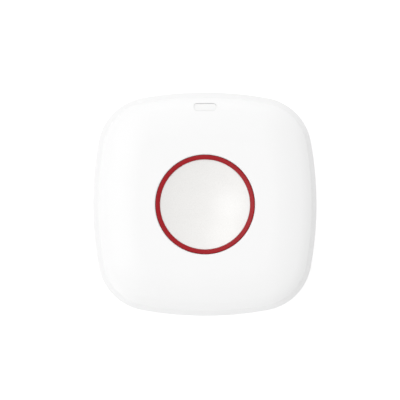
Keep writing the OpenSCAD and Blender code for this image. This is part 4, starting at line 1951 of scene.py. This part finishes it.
@dataclass(frozen=True)
class CoinCell:
    """The coin cell: a can rolled in round a narrower lid, with a groove between them."""

    cell: NodeBox
    lid_r: float = 8.8
    lid_rise: float = 0.5
    groove: Point2 = (0.2, 0.15)
    can_round: float = 0.35
    lid_round: float = 0.25
    lip_round: float = 0.08

    def build(self) -> None:
        """Builds the cell."""
        low, top, radius = self.cell.low.z, self.cell.high.z, self.cell.reach
        can_top, (width, depth) = top - self.lid_rise, self.groove
        lip, floor = self.lid_r + width, can_top - depth
        cell = turned("coin_can", [
            Corner(0.0, low), Corner(radius, low, self.can_round),
            Corner(radius, can_top, self.can_round), Corner(lip, can_top, self.lip_round),
            Corner(lip, floor), Corner(self.lid_r, floor),
            Corner(self.lid_r, top, self.lid_round), Corner(0.0, top),
        ], closed=False)
        fit(cell, CELL_STEEL, "coin_cell")


@dataclass(frozen=True)
class SpringStrip:
    """A bent contact strip with two fingers."""

    name: str
    node: str
    section: tuple[Corner, ...]
    fingers_x: Point2
    fingers_z: Point2
    width: float = 3.4
    finger_gap: float = 0.5

    @classmethod
    def plus(cls, node: str) -> SpringStrip:
        """Draws the strip whose end is bent down beside the cell.

        Args:
            node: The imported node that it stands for.

        Returns:
            The strip.
        """
        box = NodeBox.of(node)
        foot, tip, low, high = box.low.x, box.high.x, box.low.z, box.high.z
        side, under, tip_round = tip - STRIP_T, high - STRIP_T, STRIP_T / 3
        return cls("plus_spring", node, (
            Corner(foot, high), Corner(tip, high, 2 * STRIP_T), Corner(tip, low, tip_round),
            Corner(side, low, tip_round), Corner(side, under, STRIP_T), Corner(foot, under),
        ), (tip - 3 * STRIP_T, tip + 2 * STRIP_T), (low - LAP, under - 2 * STRIP_T))

    @classmethod
    def minus(cls, node: str, bend: float = 2.0, bend_r: float = 1.0) -> SpringStrip:
        """Draws the strip that steps down to the cell.

        Args:
            node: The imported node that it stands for.
            bend: How far from the middle the step begins and ends.
            bend_r: Radius of its bends.

        Returns:
            The strip.
        """
        box = NodeBox.of(node)
        foot, tip, low, high = box.low.x, box.high.x, box.low.z, box.high.z
        tip_top, foot_under, tip_round = low + STRIP_T, high - STRIP_T, STRIP_T / 3
        return cls("minus_spring", node, (
            Corner(foot, high), Corner(-bend, high, bend_r), Corner(bend, tip_top, bend_r),
            Corner(tip, tip_top, tip_round), Corner(tip, low, tip_round),
            Corner(bend, low, bend_r), Corner(-bend, foot_under, bend_r), Corner(foot, foot_under),
        ), (-bend, tip + LAP), (low - LAP, high + LAP))

    def build(self) -> None:
        """Builds the strip."""
        spring = strip(self.name, section_path(self.section, closed=True), self.width)
        (near, far), gap = self.fingers_x, self.finger_gap
        apart = round_oblong(far - near, gap, gap / 3, ((near + far) / 2, 0.0))
        carve(spring, Carve.CUT, [prism(apart, *self.fingers_z)])
        fit(spring, SPRING_BRASS, self.node)


@dataclass(frozen=True)
class EasedNode:
    """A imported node's own shape with its sharp edges rounded."""

    name: str
    node: str
    finish: Finish
    body: Body = Body.HOUSING
    ease: float = 0.07
    segments: int = 2
    merge: float = 0.0005
    level: float = 1.0
    facet: float = 15.0

    def build(self, nodes: dict[str, Piece]) -> None:
        """Rounds a merged copy of the node.

        Args:
            nodes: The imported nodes, by name.
        """
        draft = bmesh.new()
        draft.from_mesh(nodes[self.node].data)
        bmesh.ops.remove_doubles(draft, verts=draft.verts[:], dist=self.merge * MM)
        bmesh.ops.dissolve_limit(
            draft, angle_limit=math.radians(self.level), verts=draft.verts[:], edges=draft.edges[:]
        )
        piece = to_piece(self.name, draft)
        step = piece.modifiers.new("ease", "BEVEL")
        step.width = self.ease * MM
        step.segments = self.segments
        step.limit_method = "ANGLE"
        step.angle_limit = SMOOTH_ANGLE
        settle(piece)
        fit(piece, self.finish, self.node, self.body)
        piece.data.set_sharp_from_angle(angle=math.radians(self.facet))


EASED_NODES = (
    EasedNode("board_blank", "circuit_board", BOARD_GREEN),
    EasedNode("tact_base", "switch_base", DARK_PLASTIC),
    EasedNode("tact_stem", "switch_stem", DARK_PLASTIC, Body.STEM),
    EasedNode("tact_terminals", "switch_terminals", BRIGHT_STEEL, ease=0.05),
    EasedNode("tact_frame", "switch_frame", BRIGHT_STEEL),
)


@dataclass(frozen=True)
class BoardTracks:
    """The copper tracks under the board's lacquer, which stand slightly proud of it."""

    board_z: float
    width: float = 0.32
    height: float = 0.06
    rail_r: float = 19.3
    paths: tuple[tuple[Point2, ...], ...] = (
        ((-2.6, -18.1), (-4.4, -18.1), (-5.6, -16.9)),
        ((-7.3, -14.6), (-7.3, -4.9), (-4.0, -1.6)),
        ((-10.3, -16.3), (-13.0, -13.6), (-13.0, -2.0), (-17.0, 2.0), (-17.0, 4.0)),
        ((-10.6, -17.3), (-13.8, -14.1), (-13.8, -2.3), (-17.8, 1.7), (-17.8, 4.0)),
        ((-6.0, -18.8), (-4.0, -20.8), (2.0, -20.8), (3.4, -19.4)),
        ((-3.4, 19.2), (-3.4, 22.3), (-0.8, 24.9)),
        ((-15.4, 8.0), (-11.0, 12.4), (6.6, 12.4), (17.2, 1.8)),
        ((4.0, -1.6), (9.4, -7.0), (9.4, -12.6), (10.9, -14.1)),
    )

    def build(self) -> None:
        """Lays the tracks by Geometry Nodes."""
        lines = self._lines()
        tree = GeometryTree("board_tracks")
        curves = tree.add("GeometryNodeMeshToCurve", {"Mesh": tree.shape("Lines", lines)})
        level = tree.add("GeometryNodeSetCurveNormal", {"Curve": curves}, mode="Z_UP")
        profile = tree.add("GeometryNodeCurvePrimitiveQuadrilateral", {
            "Width": tree.length("Width", self.width),
            "Height": tree.length("Height", self.height),
        })
        tracks = tree.run(tree.drawn(level, profile), TRACK_GREEN)
        bpy.data.objects.remove(lines)
        fit(tracks, TRACK_GREEN, "circuit_board")

    def _lines(self) -> Piece:
        """Draws the tracks' middle lines on the board, with a rail at each row of chips.

        Returns:
            The lines, as bare edges.
        """
        rails = [
            [polar(self.rail_r, first + ROW_STEP * i) for i in range(ROW_COUNT)]
            for first in (RESISTOR_ANGLE, CAPACITOR_ANGLE)
        ]
        draft = bmesh.new()
        for path in (*self.paths, *rails):
            points = [draft.verts.new(Vector((x, y, self.board_z)) * MM) for x, y in path]
            for pair in zip(points, points[1:]):
                draft.edges.new(pair)
        return to_piece("lines", draft)


@dataclass(frozen=True)
class SoftLight:
    """A round soft light that looks at the part. Its size and distance are in metres."""

    name: str
    azimuth: float
    elevation: float
    watts: float
    size: float = 0.8
    distance: float = 1.8

    def build(self) -> None:
        """Hangs the light."""
        data = bpy.data.lights.new(self.name, "AREA")
        data.shape = "DISK"
        data.size = self.size
        data.energy = self.watts
        lamp = bpy.data.objects.new(self.name, data)
        out, up = polar(self.distance, self.elevation)
        lamp.location = (*polar(out, self.azimuth), up)
        lamp.rotation_euler = (-Vector(lamp.location)).to_track_quat("-Z", "Y").to_euler()
        bpy.context.scene.collection.objects.link(lamp)


@dataclass(frozen=True)
class Studio:
    """A plain pale floor, soft light from the upper left and a camera straight over the front."""

    outline: BowedSquare
    outline_z: float
    lights: tuple[SoftLight, ...] = (
        SoftLight("left_high", 180.0, 70.0, 5.5),
        SoftLight("corner_high", 120.0, 60.0, 3.9),
        SoftLight("top", 90.0, 35.0, 4.5),
        SoftLight("corner_low", 225.0, 15.0, 3.5),
        SoftLight("bottom_low", 270.0, 15.0, 1.6),
        SoftLight("behind", 100.0, -30.0, 14.0),
    )
    sky: float = 0.645
    frame_w: float = 107.4
    aim: Point2 = (-1.27, 1.09)
    lean: Point2 = (-13.7, 16.2)
    distance: float = 1600.0
    sensor: float = 36.0
    sight: float = 100_000.0
    floor_r: float = 3000.0
    floor_z: float = -0.05
    hidden_inset: float = 2.6
    floor_tone: float = 0.8
    floor_rough: float = 0.9
    floor_glow: Point2 = (0.17, 0.45)

    def build(self) -> None:
        """Sets the floor, the light and the camera."""
        scene = bpy.context.scene
        scene.view_settings.view_transform = "Standard"
        self._floor()
        self._sky(scene)
        for light in self.lights:
            light.build()
        self._camera(scene)

    def _floor(self) -> None:
        """Lays the floor, open where the part hides it, so that light reaches the part's back."""
        inner = self.outline.ring(self.hidden_inset, self.floor_z)
        rings = (inner, circle_facing(inner, self.floor_r, self.floor_z))
        draft = bmesh.new()
        near, far = ([draft.verts.new(Vector(point) * MM) for point in ring] for ring in rings)
        for i in range(len(inner)):
            draft.faces.new((near[i - 1], far[i - 1], far[i], near[i]))
        floor = to_piece("studio_floor", draft)
        floor.data.materials.append(self._floor_material())

    def _floor_material(self) -> bpy.types.Material:
        """Makes a pale matt finish that shows white and is clear from below.

        Returns:
            The floor's material.
        """
        made, sheet = blank_material("studio_floor")
        seen = sheet.out("ShaderNodeLightPath", output="Is Camera Ray")
        dim, bright = self.floor_glow
        glow = sheet.out("ShaderNodeMapRange", {"Value": seen, "To Min": dim, "To Max": bright})
        pale = sheet.out("ShaderNodeBsdfPrincipled", {
            "Base Color": (*[self.floor_tone] * 3, 1.0), "Roughness": self.floor_rough,
            "Emission Color": WHITE, "Emission Strength": glow,
        })
        clear = sheet.out("ShaderNodeBsdfTransparent")
        back = sheet.out("ShaderNodeNewGeometry", output="Backfacing")
        below = sheet.out("ShaderNodeMath", {0: back, 1: seen}, operation="MULTIPLY")
        sides = sheet.out("ShaderNodeMixShader", {0: below, 1: pale, 2: clear})
        sheet.node("ShaderNodeOutputMaterial", {"Surface": sides})
        return made

    def _sky(self, scene: bpy.types.Scene) -> None:
        """Surrounds the scene with even light.

        Args:
            scene: The scene.
        """
        world = bpy.data.worlds.new("studio")
        world.use_nodes = True
        back = world.node_tree.nodes["Background"]
        back.inputs["Color"].default_value = WHITE
        back.inputs["Strength"].default_value = self.sky
        scene.world = world

    def _camera(self, scene: bpy.types.Scene) -> None:
        """Sets the camera over the front, a hair to the upper left, far off to keep widths true.

        Args:
            scene: The scene that it shows.
        """
        data = bpy.data.cameras.new("camera")
        data.sensor_width = self.sensor
        data.lens = self.sensor * self.distance / self.frame_w
        data.clip_end = self.sight * MM
        camera = bpy.data.objects.new("camera", data)
        target, offset = Vector((*self.aim, self.outline_z)), Vector((*self.lean, self.distance))
        camera.location = (target + offset) * MM
        pitch, roll = math.atan2(offset.y, offset.z), math.atan2(offset.x, offset.z)
        camera.rotation_euler = (-pitch, roll, 0.0)
        scene.collection.objects.link(camera)
        scene.camera = camera


def build_case() -> BowedSquare:
    """Builds the two shells, the window and the screws.

    Returns:
        The case's outline.
    """
    cover, rear = NodeBox.of("front_cover"), NodeBox.of("rear_housing")
    outline = BowedSquare(cover.reach)
    posts, mounts = CasePosts(outline), BoardMounts()
    front = FrontCover(outline, posts, cover.low.z, cover.high.z)
    pipe, led = NodeBox.of("light_pipe"), NodeBox.of("status_led")
    middle_y = outline.half - WINDOW_INSET
    window = StatusWindow(pipe, led, middle_y, *front.surface(WINDOW_INSET))
    front.build(window)
    window.build()
    plate_r = NodeBox.of("mounting_plate").reach
    RearHousing(outline, posts, mounts, cover.low.z, rear.low.z, rear.high.z, plate_r).build()
    ScrewSet(
        "case_screw_set", "case_screws", count=4, circle_r=posts.distance,
        first_angle=posts.first_angle, seat_z=posts.seat_z, shank_r=posts.screw_r, shank_len=9.0,
        head_r=1.9, head_h=1.3, head_down=True,
    ).build()
    ScrewSet(
        "board_screw_set", "board_screws", count=3, circle_r=mounts.distance,
        first_angle=mounts.first_angle, seat_z=mounts.board_top, shank_r=0.8, shank_len=4.5,
        head_r=1.5, head_h=0.9, head_down=False,
    ).build()
    return outline


def build_inside() -> None:
    """Builds the coils and the switch's dome."""
    box = NodeBox.of("return_spring")
    spring = WoundWire("return_coil", "return_spring", box, BRIGHT_STEEL, turns=3.5).build()
    squash_with_button(spring)
    box = NodeBox.of("antenna_coil")
    WoundWire("antenna_winding", "antenna_coil", box, SPRING_BRASS, turns=4.0).build()
    SnapDome(NodeBox.of("switch_dome")).build()


def build_board_parts() -> None:
    """Builds the parts that stand on the circuit board."""
    top = NodeBox.of("circuit_board").high.z
    BoardTracks(top).build()
    ControllerChip(top).build()
    ShieldCan(top).build()
    ChipRow(
        "capacitor", "chip_capacitors", CHIP_CERAMIC, top, height=0.8, first_angle=CAPACITOR_ANGLE,
    ).build()
    ChipRow(
        "resistor", "chip_resistors", DARK_PLASTIC, top, height=0.5, first_angle=RESISTOR_ANGLE,
    ).build()
    LiddedChip(
        "crystal_can", "timing_crystal", BRIGHT_STEEL, top, distance=PART_CIRCLE_R, angle=265.0,
        size=(2.5, 3.2),
    ).build()
    LiddedChip(
        "status_lamp", "status_led", LENS_MILK, top, distance=NodeBox.of("status_led").middle.y,
        angle=90.0, size=(1.2, 2.0),
    ).build()


def main() -> None:
    """Loads the frame, builds and dresses every sub-assembly and sets the studio."""
    logging.basicConfig(level=logging.INFO, format="%(name)s: %(message)s")
    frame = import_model()
    outline = build_case()
    PushButton(NodeBox.of("button_ring"), NodeBox.of("button_cap")).build()
    ButtonCarrier(NodeBox.of("button_carrier")).build()
    WallPlate(NodeBox.of("mounting_plate")).build()
    door = CoinDoor(NodeBox.of("battery_door"), NodeBox.of("door_seal"))
    door.build()
    build_inside()
    build_board_parts()
    CoinCell(NodeBox.of("coin_cell")).build()
    SpringStrip.plus("battery_plus_contact").build()
    SpringStrip.minus("battery_minus_contact").build()
    door.build_seal()
    for eased in EASED_NODES:
        eased.build(frame["nodes"])
    Studio(outline, NodeBox.of("front_cover").low.z).build()


if __name__ == "__main__":
    main()
